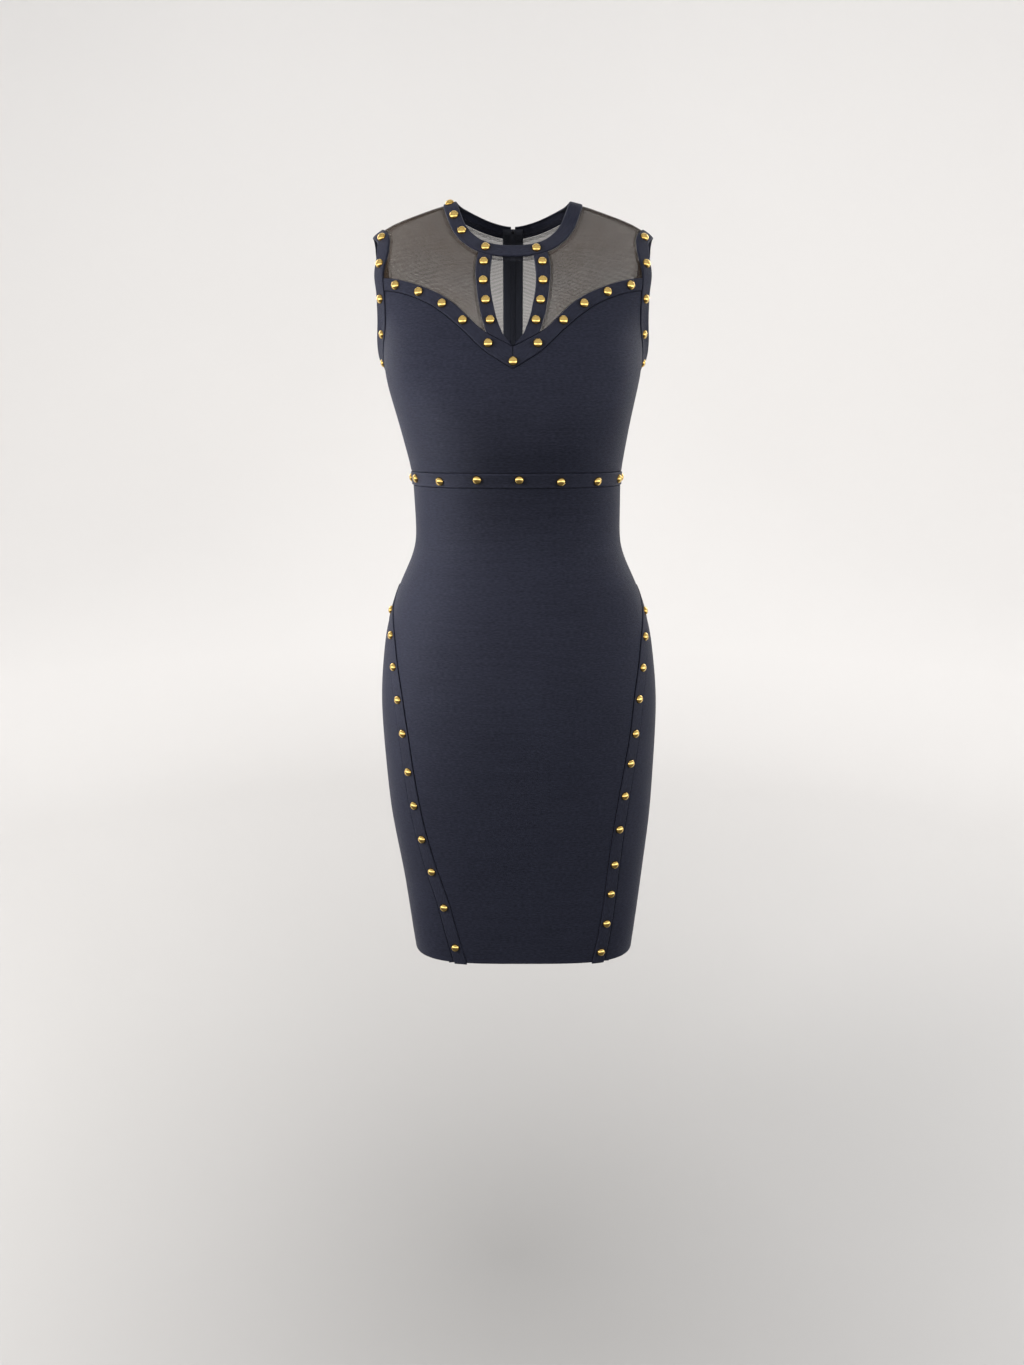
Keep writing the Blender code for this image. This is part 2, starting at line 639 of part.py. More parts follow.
# --------------------------------------------------------------------- the studs
def spots_along(line, distances):
    """Chart points at these distances along a line."""
    along = lengths(line)
    return [np.array([np.interp(distance, along, column) for column in line.T])
            for distance in distances]


def band_studs(arcs, side):
    """Stud places of the bands on one side, keyed by band."""
    keyhole = arcs["key_middle"]
    keyhole = stretch(keyhole, crossing(keyhole, arcs["neck_key_band"]),
                      len(keyhole) - 1, FINE_STEP)
    armhole = arcs["arm_middle"]
    pitch = lengths(armhole)[-1] / ARMHOLE_STUDS
    skirt = arcs["skirt_middle"]
    skirt = stretch(skirt, crossing(skirt, across_chart(0.5 * side)),
                    len(skirt) - 1, FINE_STEP)
    return {
        "neck": spots_along(arcs["neck_middle"], NECK_STUDS[side]),
        "keyhole": spots_along(keyhole, KEYHOLE_STUDS),
        "sweetheart": spots_along(arcs["heart_middle"], SWEETHEART_STUDS),
        "armhole": spots_along(armhole, [ARMHOLE_FIRST_STUD + pitch * number
                                         for number in range(ARMHOLE_STUDS)]),
        "skirt": spots_along(skirt, SKIRT_STUDS[side]),
    }


def waist_studs():
    """Stud places round the waistband, clear of the zip."""
    ring = straight(-1.0, WAIST_DROP, 1.0, WAIST_DROP, FINE_STEP)
    whole = lengths(ring)[-1]
    first = whole / 2 + WAIST_FIRST_STUD
    before = int(first / WAIST_PITCH - WAIST_ZIP_SHARE)
    after = int((whole - first) / WAIST_PITCH - WAIST_ZIP_SHARE)
    numbers = range(-before, after + 1)
    spots = spots_along(ring, [first + WAIST_PITCH * number for number in numbers])
    return [spot - (0.0, WAIST_LIFTS.get(number, 0.0))
            for number, spot in zip(numbers, spots)]


def centre_stud():
    """The stud over the mitre of the sweetheart bands, a piece of its own."""
    model = bmesh.new()
    base = BAND_WALL + SEAM_GAP
    rings = []
    for share, height in CENTRE_STUD_RINGS:
        made = bmesh.ops.create_circle(model, segments=CENTRE_STUD_SIDES,
                                       radius=STUD_RADIUS * share)
        bmesh.ops.translate(model, verts=made["verts"],
                            vec=(0, 0, base + height * STUD_HEIGHT))
        rings.append(made["verts"])
    crown = model.verts.new((0, 0, base + STUD_HEIGHT))
    for k in range(CENTRE_STUD_SIDES):
        after = (k + 1) % CENTRE_STUD_SIDES
        for low, high in zip(rings, rings[1:]):
            model.faces.new((low[k], low[after], high[after], high[k]))
        model.faces.new((rings[-1][k], rings[-1][after], crown))
    model.faces.new(rings[0])
    bmesh.ops.recalc_face_normals(model, faces=model.faces)
    spot = on_form(seen_from_front([(0.0, CENTRE_STUD_DROP)]))
    turned = Vector(outward(spot)[0]).to_track_quat("Z", "Y").to_matrix().to_4x4()
    model.transform(Matrix.Translation(spot[0]) @ turned)
    return finish("stud_front_center", "gold", model)


# ----------------------------------------------------------------------- the zip
def block(model, low, high):
    """A box between two corners."""
    made = bmesh.ops.create_cube(model, size=1)["verts"]
    low, high = Vector(low), Vector(high)
    bmesh.ops.scale(model, vec=high - low, verts=made)
    bmesh.ops.translate(model, vec=(low + high) / 2, verts=made)


def rod(model, radius, half_length, height=0.0):
    """A round bar along X at this height over the cloth."""
    made = bmesh.ops.create_cone(model, cap_ends=True, segments=16, radius1=radius,
                                 radius2=radius, depth=2 * half_length)["verts"]
    bmesh.ops.rotate(model, verts=made, matrix=Matrix.Rotation(pi / 2, 3, "Y"))
    bmesh.ops.translate(model, verts=made, vec=(0, height, 0))


def combine(thing, shape, operation, location, tilt):
    """Join a tool shape to an object, or cut it out, as a live modifier."""
    tool = finish(thing.name + "_" + operation.lower(), "zip_metal", shape, location, tilt)
    tool.hide_render = True
    tool.display_type = "WIRE"
    boolean = thing.modifiers.new(operation.title(), "BOOLEAN")
    boolean.operation = operation
    boolean.solver = "EXACT"
    boolean.use_self = True
    boolean.object = tool


def slider_and_pull(place, tilt):
    """Slider in the slot of the neckband, and the tab that swings on its pin."""
    half, long = SLIDER["width"] / 2, SLIDER["length"] / 2
    body = bmesh.new()
    block(body, (-half, -SLIDER["inside"], -long), (half, SLIDER["outside"], long))
    slider = finish("zip_slider", "zip_metal", body, place, tilt)
    ears = bmesh.new()
    for side in (-1, 1):
        ends = sorted((side * EAR["inner"], side * EAR["outer"]))
        block(ears, (ends[0], SLIDER["outside"] - JOIN, -EAR["half_length"]),
              (ends[1], EAR["top"], EAR["half_length"]))
    combine(slider, ears, "UNION", place, tilt)
    pin = bmesh.new()
    rod(pin, PIN["radius"], PIN["half_length"], PIN["height"])
    combine(slider, pin, "UNION", place, tilt)

    axis = Vector(place) + Matrix.Rotation(tilt, 3, "X") @ Vector((0, PIN["height"], 0))
    ring = bmesh.new()
    rod(ring, PULL["ring"], PULL["half_width"])
    pull = finish("zip_pull", "zip_metal", ring, axis, tilt)
    tab = bmesh.new()
    wall_half = PULL["tab_wall"] / 2
    block(tab, (-PULL["half_width"], -wall_half, -PULL["tab_start"] - JOIN),
          (PULL["half_width"], wall_half, -PULL["hole"] - JOIN))
    combine(pull, tab, "UNION", axis, tilt)
    blade = bmesh.new()
    block(blade, (-PULL["tab_half"], -wall_half, -PULL["length"]),
          (PULL["tab_half"], wall_half, -PULL["tab_start"]))
    combine(pull, blade, "UNION", axis, tilt)
    hole = bmesh.new()
    rod(hole, PULL["hole"], PULL["half_width"] * 2)
    combine(pull, hole, "DIFFERENCE", axis, tilt)


# --------------------------------------------------------------------- the dress
def clear_scene():
    for thing in list(bpy.data.objects):
        bpy.data.objects.remove(thing, do_unlink=True)


def make_materials():
    for name, (colour, roughness, metallic) in MATERIALS.items():
        material = bpy.data.materials.new(name)
        material.use_nodes = True
        shader = material.node_tree.nodes["Principled BSDF"]
        shader.inputs["Base Color"].default_value = (*colour, 1)
        shader.inputs["Roughness"].default_value = roughness
        shader.inputs["Metallic"].default_value = metallic
        material.diffuse_color = (*colour, 1)


def make_top(word, arcs, studs, tape_edge):
    """Yokes, back bodice and the bands round keyhole, heart and arm of one side."""
    reverse = {name: arc[::-1] for name, arc in arcs.items()}
    wall("yoke_front_" + word, "mesh", chain(
        arcs["shoulder"], arcs["arm_yoke"], reverse["heart_up"], reverse["key_out"],
        arcs["neck_front"]))
    wall("yoke_back_" + word, "mesh", chain(
        arcs["shoulder"], reverse["arm_back_yoke"], reverse["back_yoke"],
        reverse["centre_yoke"], reverse["neck_back"]),
        guides=tape_edge["yoke"])
    wall("bodice_back_" + word, "knit", chain(
        arcs["back_yoke"], reverse["arm_back"], arcs["side_top"], arcs["waist_up_back"],
        reverse["centre_bodice"]), guides=tape_edge["bodice"])
    band = {"thick": BAND_WALL, "lattice": None}
    wall("keyhole_band_" + word, "band", chain(
        arcs["neck_key_band"], arcs["key_out"], reverse["heart_key"], reverse["key_in"]),
        studs=studs["keyhole"], **band)
    wall("sweetheart_band_" + word, "band", chain(
        arcs["heart_key"], arcs["heart_up"], arcs["arm_heart"], reverse["heart_low"],
        reverse["mitre"]), studs=studs["sweetheart"], **band)
    wall("armhole_band_" + word, "band", chain(
        arcs["arm_yoke"], arcs["arm_heart"], arcs["arm_front"], arcs["arm_back"],
        arcs["arm_back_yoke"]), hole=arcs["arm_edge"][:-1], studs=studs["armhole"], **band)


def make_skirt(word, arcs, studs, tape_edge):
    """Curved band, side panel and back panel of one side of the skirt."""
    reverse = {name: arc[::-1] for name, arc in arcs.items()}
    wall("skirt_band_" + word, "band", chain(
        arcs["skirt_in"], arcs["hem_band"], reverse["skirt_out"], reverse["side_band"]),
        thick=BAND_WALL, lattice=None, studs=studs["skirt"])
    wall("skirt_side_" + word, "knit", chain(
        arcs["skirt_out"], arcs["hem_side"], reverse["side_low"]))
    wall("skirt_back_" + word, "knit", chain(
        arcs["waist_low_back"], arcs["centre_zip"], arcs["centre_skirt"],
        reverse["hem_back"], reverse["side_low"], reverse["side_band"],
        reverse["side_hip"]), guides=tape_edge["skirt"])


def make_centre(right, left, studs):
    """The pieces that cross the front centre, from the right side to the left."""
    home = {name: arc[::-1] for name, arc in right.items()}
    back = {name: arc[::-1] for name, arc in left.items()}
    wall("bodice_front", "knit", chain(
        left["heart_low"], left["arm_front"], left["side_top"],
        back["waist_up_front"], right["waist_up_front"], home["side_top"],
        home["arm_front"], home["heart_low"]))
    wall("skirt_front", "knit", chain(
        left["waist_low_front"], left["side_hip"], left["skirt_in"],
        back["hem_front"], right["hem_front"], home["skirt_in"], home["side_hip"],
        home["waist_low_front"]))
    wall("waistband", "band", chain(
        left["waist_up_front"], left["waist_up_back"], left["centre_waist"],
        back["waist_low_back"], back["waist_low_front"],
        right["waist_low_front"], right["waist_low_back"], home["centre_waist"],
        home["waist_up_back"], home["waist_up_front"]),
        thick=BAND_WALL, lattice=None, studs=waist_studs())
    seams, edges = [], []
    for side in (right, left):
        seam = chain(side["neck_keyhole"], side["neck_key_band"], side["neck_front"],
                     side["neck_back"])
        seams.append(clear_of_slot(np.concatenate([seam, side["neck_back"][-1:]])))
        edges.append(clear_of_slot(side["neck_edge"]))
    wall("neckband", "band", np.concatenate([
        seams[0][::-1], seams[1][1:], edges[1][::-1], edges[0][1:]]),
        thick=BAND_WALL, lattice=None, studs=studs)


def clear_of_slot(line):
    """A neckband edge that stops short of the slider at the back centre."""
    along = lengths(line)
    stop = along[-1] - SLOT
    kept = line[along < stop - SEAM_STEP / 3]
    return np.concatenate([kept, spots_along(line, [stop])])


def make_tapes(arcs, word):
    """Zip tape under the back edges of one side; returns its edge by panel."""
    zipped = {"yoke": arcs["centre_yoke"], "bodice": arcs["centre_bodice"],
              "waist": arcs["centre_waist"], "skirt": arcs["centre_zip"]}
    side = np.sign(arcs["centre_yoke"][0, 0])
    edges = {name: shifted(line, -TAPE_WIDTH * side) for name, line in zipped.items()}
    for line in edges.values():
        line[:, 0] = np.abs(line[:, 0]) * side
    inner = np.concatenate([zipped[name][:-1] for name in zipped] + [zipped["skirt"][-1:]])
    outer = np.concatenate([edges[name][:-1] for name in zipped] + [edges["skirt"][-1:]])
    wall("zip_tape_" + word, "tape", np.concatenate([inner, outer[::-1]]),
         thick=TAPE_WALL, inside=-TAPE_GAP - TAPE_WALL, lattice=None)
    return {name: line[1:-1] for name, line in edges.items()}


def build():
    clear_scene()
    make_materials()
    sides = {"left": 1, "right": -1}
    arcs = {word: side_arcs(side) for word, side in sides.items()}
    studs = {word: band_studs(arcs[word], side) for word, side in sides.items()}
    for word in sides:
        tape_edge = make_tapes(arcs[word], word)
        make_top(word, arcs[word], studs[word], tape_edge)
        make_skirt(word, arcs[word], studs[word], tape_edge)
    make_centre(arcs["right"], arcs["left"], studs["right"]["neck"] + studs["left"]["neck"])
    centre_stud()
    spot = on_form(spots_along(arcs["left"]["neck_middle"][::-1], [0.0])[0][None])
    out = outward(spot)[0]
    slider_and_pull(spot[0], np.arctan2(out[2], out[1]))


build()
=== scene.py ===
from math import cos, pi, radians, sin, tau

import bmesh
import bpy
import numpy as np
from mathutils import Matrix, Vector


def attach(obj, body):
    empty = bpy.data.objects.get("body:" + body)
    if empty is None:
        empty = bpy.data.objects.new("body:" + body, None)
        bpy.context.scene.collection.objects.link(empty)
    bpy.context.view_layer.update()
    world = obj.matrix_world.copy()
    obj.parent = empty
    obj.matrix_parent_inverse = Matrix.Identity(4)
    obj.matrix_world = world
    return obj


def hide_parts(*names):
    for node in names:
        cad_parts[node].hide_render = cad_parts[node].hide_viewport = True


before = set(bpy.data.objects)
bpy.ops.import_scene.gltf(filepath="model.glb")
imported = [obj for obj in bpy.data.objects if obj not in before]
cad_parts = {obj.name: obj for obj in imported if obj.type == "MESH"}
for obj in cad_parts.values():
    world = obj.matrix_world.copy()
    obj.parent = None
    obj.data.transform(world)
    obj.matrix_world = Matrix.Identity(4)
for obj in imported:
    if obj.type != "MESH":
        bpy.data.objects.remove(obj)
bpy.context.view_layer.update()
print("frame loaded:", len(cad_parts), "nodes")


# The cloth lies on a smooth figure. A seam is a line of (turn, reach) on it: turn is 0
# at the front centre, 0.5 at the side and 1 at the back centre, below zero on the -X
# side; reach is metres below the shoulder line, and runs on over the shoulder.
figure = {
    "columns": ("drop", "side", "front", "back", "square", "lean"),
    "rows": (
        (-0.030, 0.0570, 0.0340, 0.0430, 2.0, 0.0000),
        (0.0000, 0.0630, 0.0360, 0.0460, 2.0, 0.0000),
        (0.0020, 0.0750, 0.0365, 0.0475, 1.9, 0.0000),
        (0.0120, 0.1100, 0.0375, 0.0540, 1.7, 0.0000),
        (0.0245, 0.1415, 0.0400, 0.0630, 1.8, 0.0000),
        (0.0370, 0.1590, 0.0465, 0.0715, 2.0, 0.0000),
        (0.0540, 0.1655, 0.0590, 0.0800, 2.3, 0.0000),
        (0.0800, 0.1645, 0.0770, 0.0880, 2.6, 0.0000),
        (0.1040, 0.1600, 0.0900, 0.0930, 2.5, 0.0000),
        (0.1380, 0.1530, 0.1055, 0.0980, 2.4, 0.0000),
        (0.1680, 0.1500, 0.1165, 0.1000, 2.6, 0.0000),
        (0.1970, 0.1452, 0.1250, 0.0990, 2.9, 0.0000),
        (0.2270, 0.1378, 0.1305, 0.0970, 2.9, 0.0010),
        (0.2650, 0.1303, 0.1260, 0.0920, 2.5, 0.0027),
        (0.3080, 0.1233, 0.1075, 0.0860, 2.4, 0.0045),
        (0.3750, 0.1227, 0.0920, 0.0800, 2.3, 0.0060),
        (0.4450, 0.1488, 0.1000, 0.0940, 2.3, 0.0063),
        (0.5020, 0.1645, 0.1070, 0.1120, 2.3, 0.0066),
        (0.5850, 0.1716, 0.1120, 0.1230, 2.4, 0.0075),
        (0.7070, 0.1661, 0.1040, 0.1100, 2.7, 0.0095),
        (0.8200, 0.1520, 0.0930, 0.0960, 3.1, 0.0130),
        (0.9070, 0.1411, 0.0850, 0.0880, 3.6, 0.0138),
        (0.9300, 0.1380, 0.0830, 0.0860, 3.6, 0.0140),
    ),
    "chest": 0.120,        # above this drop, reach is an angle from the chest
    "chestRadius": 0.150,
    "fan": (3.0, 2.0),     # how turn is shared between the sides and the front
    "easeStep": 0.002, "ease": 0.014, "easeFloor": 0.0004,
    "easeFrom": 0.11, "easeOver": 0.06,    # evens out the rows below the arms
    "farthest": 0.35, "halvings": 36,      # how onForm searches along a ray
    "turnLength": 0.43,                    # of one turn, in metres, where knots are spaced
}


def softSlopes(place, value):      # never overshoots its rows
    step = np.diff(place)
    rise = np.diff(value) / step
    same = rise[:-1] * rise[1:] > 0
    before, after = np.where(same, rise[:-1], 1.0), np.where(same, rise[1:], 1.0)
    near, far = 2 * step[1:] + step[:-1], step[1:] + 2 * step[:-1]
    inner = np.where(same, (near + far) / (near / before + far / after), 0.0)
    return np.concatenate(([rise[0]], inner, [rise[-1]]))


def freeSlopes(place, value):      # swings freely through its knots
    step = np.diff(place)
    rise = np.diff(value) / step
    inner = (rise[:-1] * step[1:] + rise[1:] * step[:-1]) / (step[1:] + step[:-1])
    return np.concatenate(([rise[0]], inner, [rise[-1]]))


def readCurve(place, value, slope, at):
    at = np.clip(at, place[0], place[-1])
    row = np.clip(np.searchsorted(place, at, side="right") - 1, 0, len(place) - 2)
    step = place[row + 1] - place[row]
    t = (at - place[row]) / step
    return (value[row] * (1 + 2 * t) * (1 - t) ** 2 + slope[row] * step * t * (1 - t) ** 2
            + value[row + 1] * t * t * (3 - 2 * t) + slope[row + 1] * step * t * t * (t - 1))


def easedForm():                   # the rows as dense columns without a kink
    rows = np.array(figure["rows"]).T
    drop = np.arange(rows[0][0], rows[0][-1], figure["easeStep"])
    reach = (np.clip((drop - figure["easeFrom"]) / figure["easeOver"], 0, 1)
             * figure["ease"] + figure["easeFloor"])
    share = np.exp(-((drop[:, None] - drop[None]) / reach[:, None]) ** 2)
    share /= share.sum(1)[:, None]
    columns = {"drop": drop}
    for name, row in zip(figure["columns"][1:], rows[1:]):
        columns[name] = share @ readCurve(rows[0], row, softSlopes(rows[0], row), drop)
    return columns


formColumns = easedForm()
formSlopes = {name: freeSlopes(formColumns["drop"], column)
              for name, column in formColumns.items()}


def formAt(name, drop):
    return readCurve(formColumns["drop"], formColumns[name], formSlopes[name], drop)


def depthInside(points):           # below zero inside the figure
    drop = -points[:, 2]
    depth = np.where(points[:, 1] < 0, formAt("front", drop), formAt("back", drop))
    square = formAt("square", drop)
    across = np.abs(points[:, 0] - formAt("lean", drop)) / formAt("side", drop)
    return across ** square + (np.abs(points[:, 1]) / depth) ** square - 1


def onForm(line):                  # (turn, reach) to points in space
    turn, reach = np.asarray(line, float).reshape(-1, 2).T
    fan = figure["fan"]
    way = np.stack([fan[0] * np.sin(turn * pi), -fan[1] * np.cos(turn * pi)], 1)
    way /= np.linalg.norm(way, axis=1)[:, None]
    tilt = np.clip((figure["chest"] - reach) / figure["chestRadius"], 0, None)
    drop = np.maximum(reach, figure["chest"])
    start = np.stack([formAt("lean", drop), 0 * drop, -drop], 1)
    ray = np.stack([way[:, 0] * np.cos(tilt), way[:, 1] * np.cos(tilt), np.sin(tilt)], 1)
    near, far = np.zeros(len(turn)), np.full(len(turn), figure["farthest"])
    for _ in range(figure["halvings"]):
        middle = (near + far) / 2
        inside = depthInside(start + ray * middle[:, None]) < 0
        near, far = np.where(inside, middle, near), np.where(inside, far, middle)
    return start + ray * near[:, None]


def onChart(points):               # points near the figure to (turn, reach)
    chest, fan = figure["chest"], figure["fan"]
    drop = np.maximum(-points[:, 2], chest)
    across = points[:, 0] - formAt("lean", drop)
    turn = np.arctan2(across / fan[0], -points[:, 1] / fan[1]) / pi
    tilt = np.arctan2(points[:, 2] + chest, np.hypot(across, points[:, 1]))
    reach = np.where(points[:, 2] <= -chest, -points[:, 2],
                     chest - figure["chestRadius"] * tilt)
    return np.stack([turn, reach], 1)


def outward(points):
    small = 1e-5
    slope = np.stack([depthInside(points + step) - depthInside(points - step)
                      for step in np.eye(3) * small], 1)
    return slope / np.linalg.norm(slope, axis=1)[:, None]


def otherHalf(along, half, reach, square):      # of a section: how far out beside along
    return reach * np.clip(1 - (np.abs(along) / half) ** square, 0, None) ** (1 / square)


def fromFront(rows, back=False):   # (distance from the centre, drop) to the chart
    out, drop = np.asarray(rows, float).T
    deep = otherHalf(out, formAt("side", drop), formAt("back" if back else "front", drop),
                     formAt("square", drop)) * (1 if back else -1)
    return onChart(np.stack([out + formAt("lean", drop), deep, -drop], 1))


def fromSide(deep, drop):          # depths and drops on the +X side to the chart
    depth = np.where(deep < 0, formAt("front", drop), formAt("back", drop))
    out = otherHalf(deep, depth, formAt("side", drop), formAt("square", drop))
    return onChart(np.stack([out + formAt("lean", drop), deep, -drop], 1))


# lines on the chart
def lengthsOf(line):
    steps = np.linalg.norm(np.diff(onForm(line), axis=0), axis=1)
    return np.concatenate(([0.0], np.cumsum(steps)))


def readLine(line, where, places=None):        # where is a place in the line's own count
    places = np.arange(len(line)) if places is None else places
    return np.stack([np.interp(where, places, column) for column in line.T], -1)


def at(line, shares):              # points at shares of a line's length
    places = lengthsOf(line)
    return readLine(line, np.asarray(shares, float) * places[-1], places)


def along(line, distances):        # points at distances from a line's start
    return readLine(line, distances, lengthsOf(line))


def smoothLine(knots, count=240):
    knots = np.asarray(knots, float)
    steps = np.linalg.norm(np.diff(knots * (figure["turnLength"], 1), axis=0), axis=1)
    place = np.concatenate(([0.0], np.cumsum(steps)))
    where = np.linspace(0, place[-1], count)
    return np.stack([readCurve(place, column, freeSlopes(place, column), where)
                     for column in knots.T], 1)


def shifted(line, amount, ring=False):      # to the left of its way when positive
    points = onForm(line)
    if ring:
        wrapped = np.concatenate([points[-2:-1], points, points[1:2]])
        ahead = wrapped[2:] - wrapped[:-2]
    else:
        ahead = np.gradient(points, axis=0)
    sideways = np.cross(outward(points), ahead)
    sideways /= np.linalg.norm(sideways, axis=1)[:, None]
    moved = onChart(points + sideways * amount)
    wound = np.round((line[:, 0] - moved[:, 0]) / 2) * 2
    moved[:, 0] += wound
    return moved


def turnOf(first, second):
    return first[..., 0] * second[..., 1] - first[..., 1] * second[..., 0]


def crossingOf(line, other):       # place along the line where it first meets the other
    ahead, across = np.diff(line, axis=0)[:, None], np.diff(other, axis=0)[None]
    gap = other[None, :-1] - line[:-1, None]
    cross = turnOf(ahead, across)
    cross = np.where(np.abs(cross) < 1e-15, 1e-15, cross)      # parallel steps never meet
    here, there = turnOf(gap, across) / cross, turnOf(gap, ahead) / cross
    found = np.argwhere((here >= 0) & (here <= 1) & (there >= 0) & (there <= 1))
    return found[0][0] + here[tuple(found[0])]


def piece(line, start, stop, ring=False, count=160):      # a stretch of a line
    if ring and stop < start:
        stop += len(line) - 1
        line = np.concatenate([line, line[1:]])
    return readLine(line, np.linspace(start, stop, count))


def straight(turnFrom, reachFrom, turnTo, reachTo):
    return np.linspace((turnFrom, reachFrom), (turnTo, reachTo), 60)


def level(turnFrom, turnTo, reach):
    return straight(turnFrom, reach, turnTo, reach)


def upright(turn, reachFrom, reachTo):
    return straight(turn, reachFrom, turn, reachTo)


def acrossChart(turn):
    return np.array([[turn, -figure["chest"]], [turn, cut["length"]]])


def joined(*lines):
    return np.concatenate([lines[0]] + [line[1:] for line in lines[1:]])


def startsOf(*lines):
    return np.stack([line[0] for line in lines])


def endsOf(*lines):
    return np.stack([line[-1] for line in lines])


# where the dress is cut and sewn
cut = {
    "length": 0.907,
    "bandWidth": 0.016,
    "waist": 0.3052,               # drop of the waistband's middle
    "backYoke": 0.140,
    "zipEnd": 0.470,
    "slot": 0.0022,                # from the back centre to each neckband end
    "nub": 0.0018,                 # how far the skirt bands end below the hem
    "neckFront": ((0.0, 0.0600), (0.020, 0.0586), (0.0365, 0.0535), (0.050, 0.0440),
                  (0.0600, 0.0312), (0.0665, 0.0155)),       # out, drop
    "neckShoulder": 0.0012,
    "neckBack": ((0.0600, 0.0045), (0.045, 0.0105), (0.025, 0.0165), (0.0, 0.0200)),
    "keyhole": (                   # drop, opening edge, yoke edge
        (0.0540, 0.0215, 0.0360), (0.0660, 0.0225, 0.0392), (0.0765, 0.0240, 0.0407),
        (0.0970, 0.0245, 0.0397), (0.1110, 0.0226, 0.0380), (0.1236, 0.0200, 0.0358),
        (0.1415, 0.0146, 0.0310), (0.1510, 0.0104, 0.0284), (0.1640, 0.0000, 0.0250)),
    "sweetheart": (                # out, upper edge, lower edge
        (0.0000, 0.1640, 0.1870), (0.0285, 0.1490, 0.1695), (0.0550, 0.1253, 0.1450),
        (0.0775, 0.1080, 0.1262), (0.1040, 0.0960, 0.1108), (0.1280, 0.0885, 0.1022),
        (0.1480, 0.0850, 0.0985)),
    "armhole": {"drop": 0.1050, "height": 0.0725, "front": 0.0455, "back": 0.0475},
    "skirtBand": (                 # drop, turn on the -X side, turn on the +X side
        (0.4250, 0.5600, 0.5700), (0.4460, 0.5000, 0.5000), (0.4620, 0.4500, 0.4380),
        (0.4900, 0.3720, 0.3660), (0.5270, 0.3320, 0.3265), (0.5650, 0.3010, 0.2960),
        (0.6060, 0.2820, 0.2790), (0.6500, 0.2710, 0.2625), (0.6900, 0.2620, 0.2500),
        (0.7350, 0.2490, 0.2395), (0.7800, 0.2340, 0.2335), (0.8250, 0.2140, 0.2300),
        (0.8650, 0.2000, 0.2235), (0.9200, 0.1800, 0.2110)),
}


def neckLines():                   # middle, opening edge and seam, front to back
    knots = np.concatenate([
        fromFront(cut["neckFront"]),
        fromSide(np.array([0.0]), np.array([cut["neckShoulder"]])),
        fromFront(cut["neckBack"], back=True)])
    before, after = knots[1] * (-1, 1), knots[-2] * (-1, 1) + (2, 0)
    middle = smoothLine(np.concatenate([[before], knots, [after]]), 480)
    middle = piece(middle, crossingOf(middle, acrossChart(0.0)),
                   crossingOf(middle, acrossChart(1.0)), count=420)
    half = cut["bandWidth"] / 2
    lines = [middle, shifted(middle, half), shifted(middle, -half)]
    for line in lines:
        line[0, 0], line[-1, 0] = 0.0, 1.0
    return lines


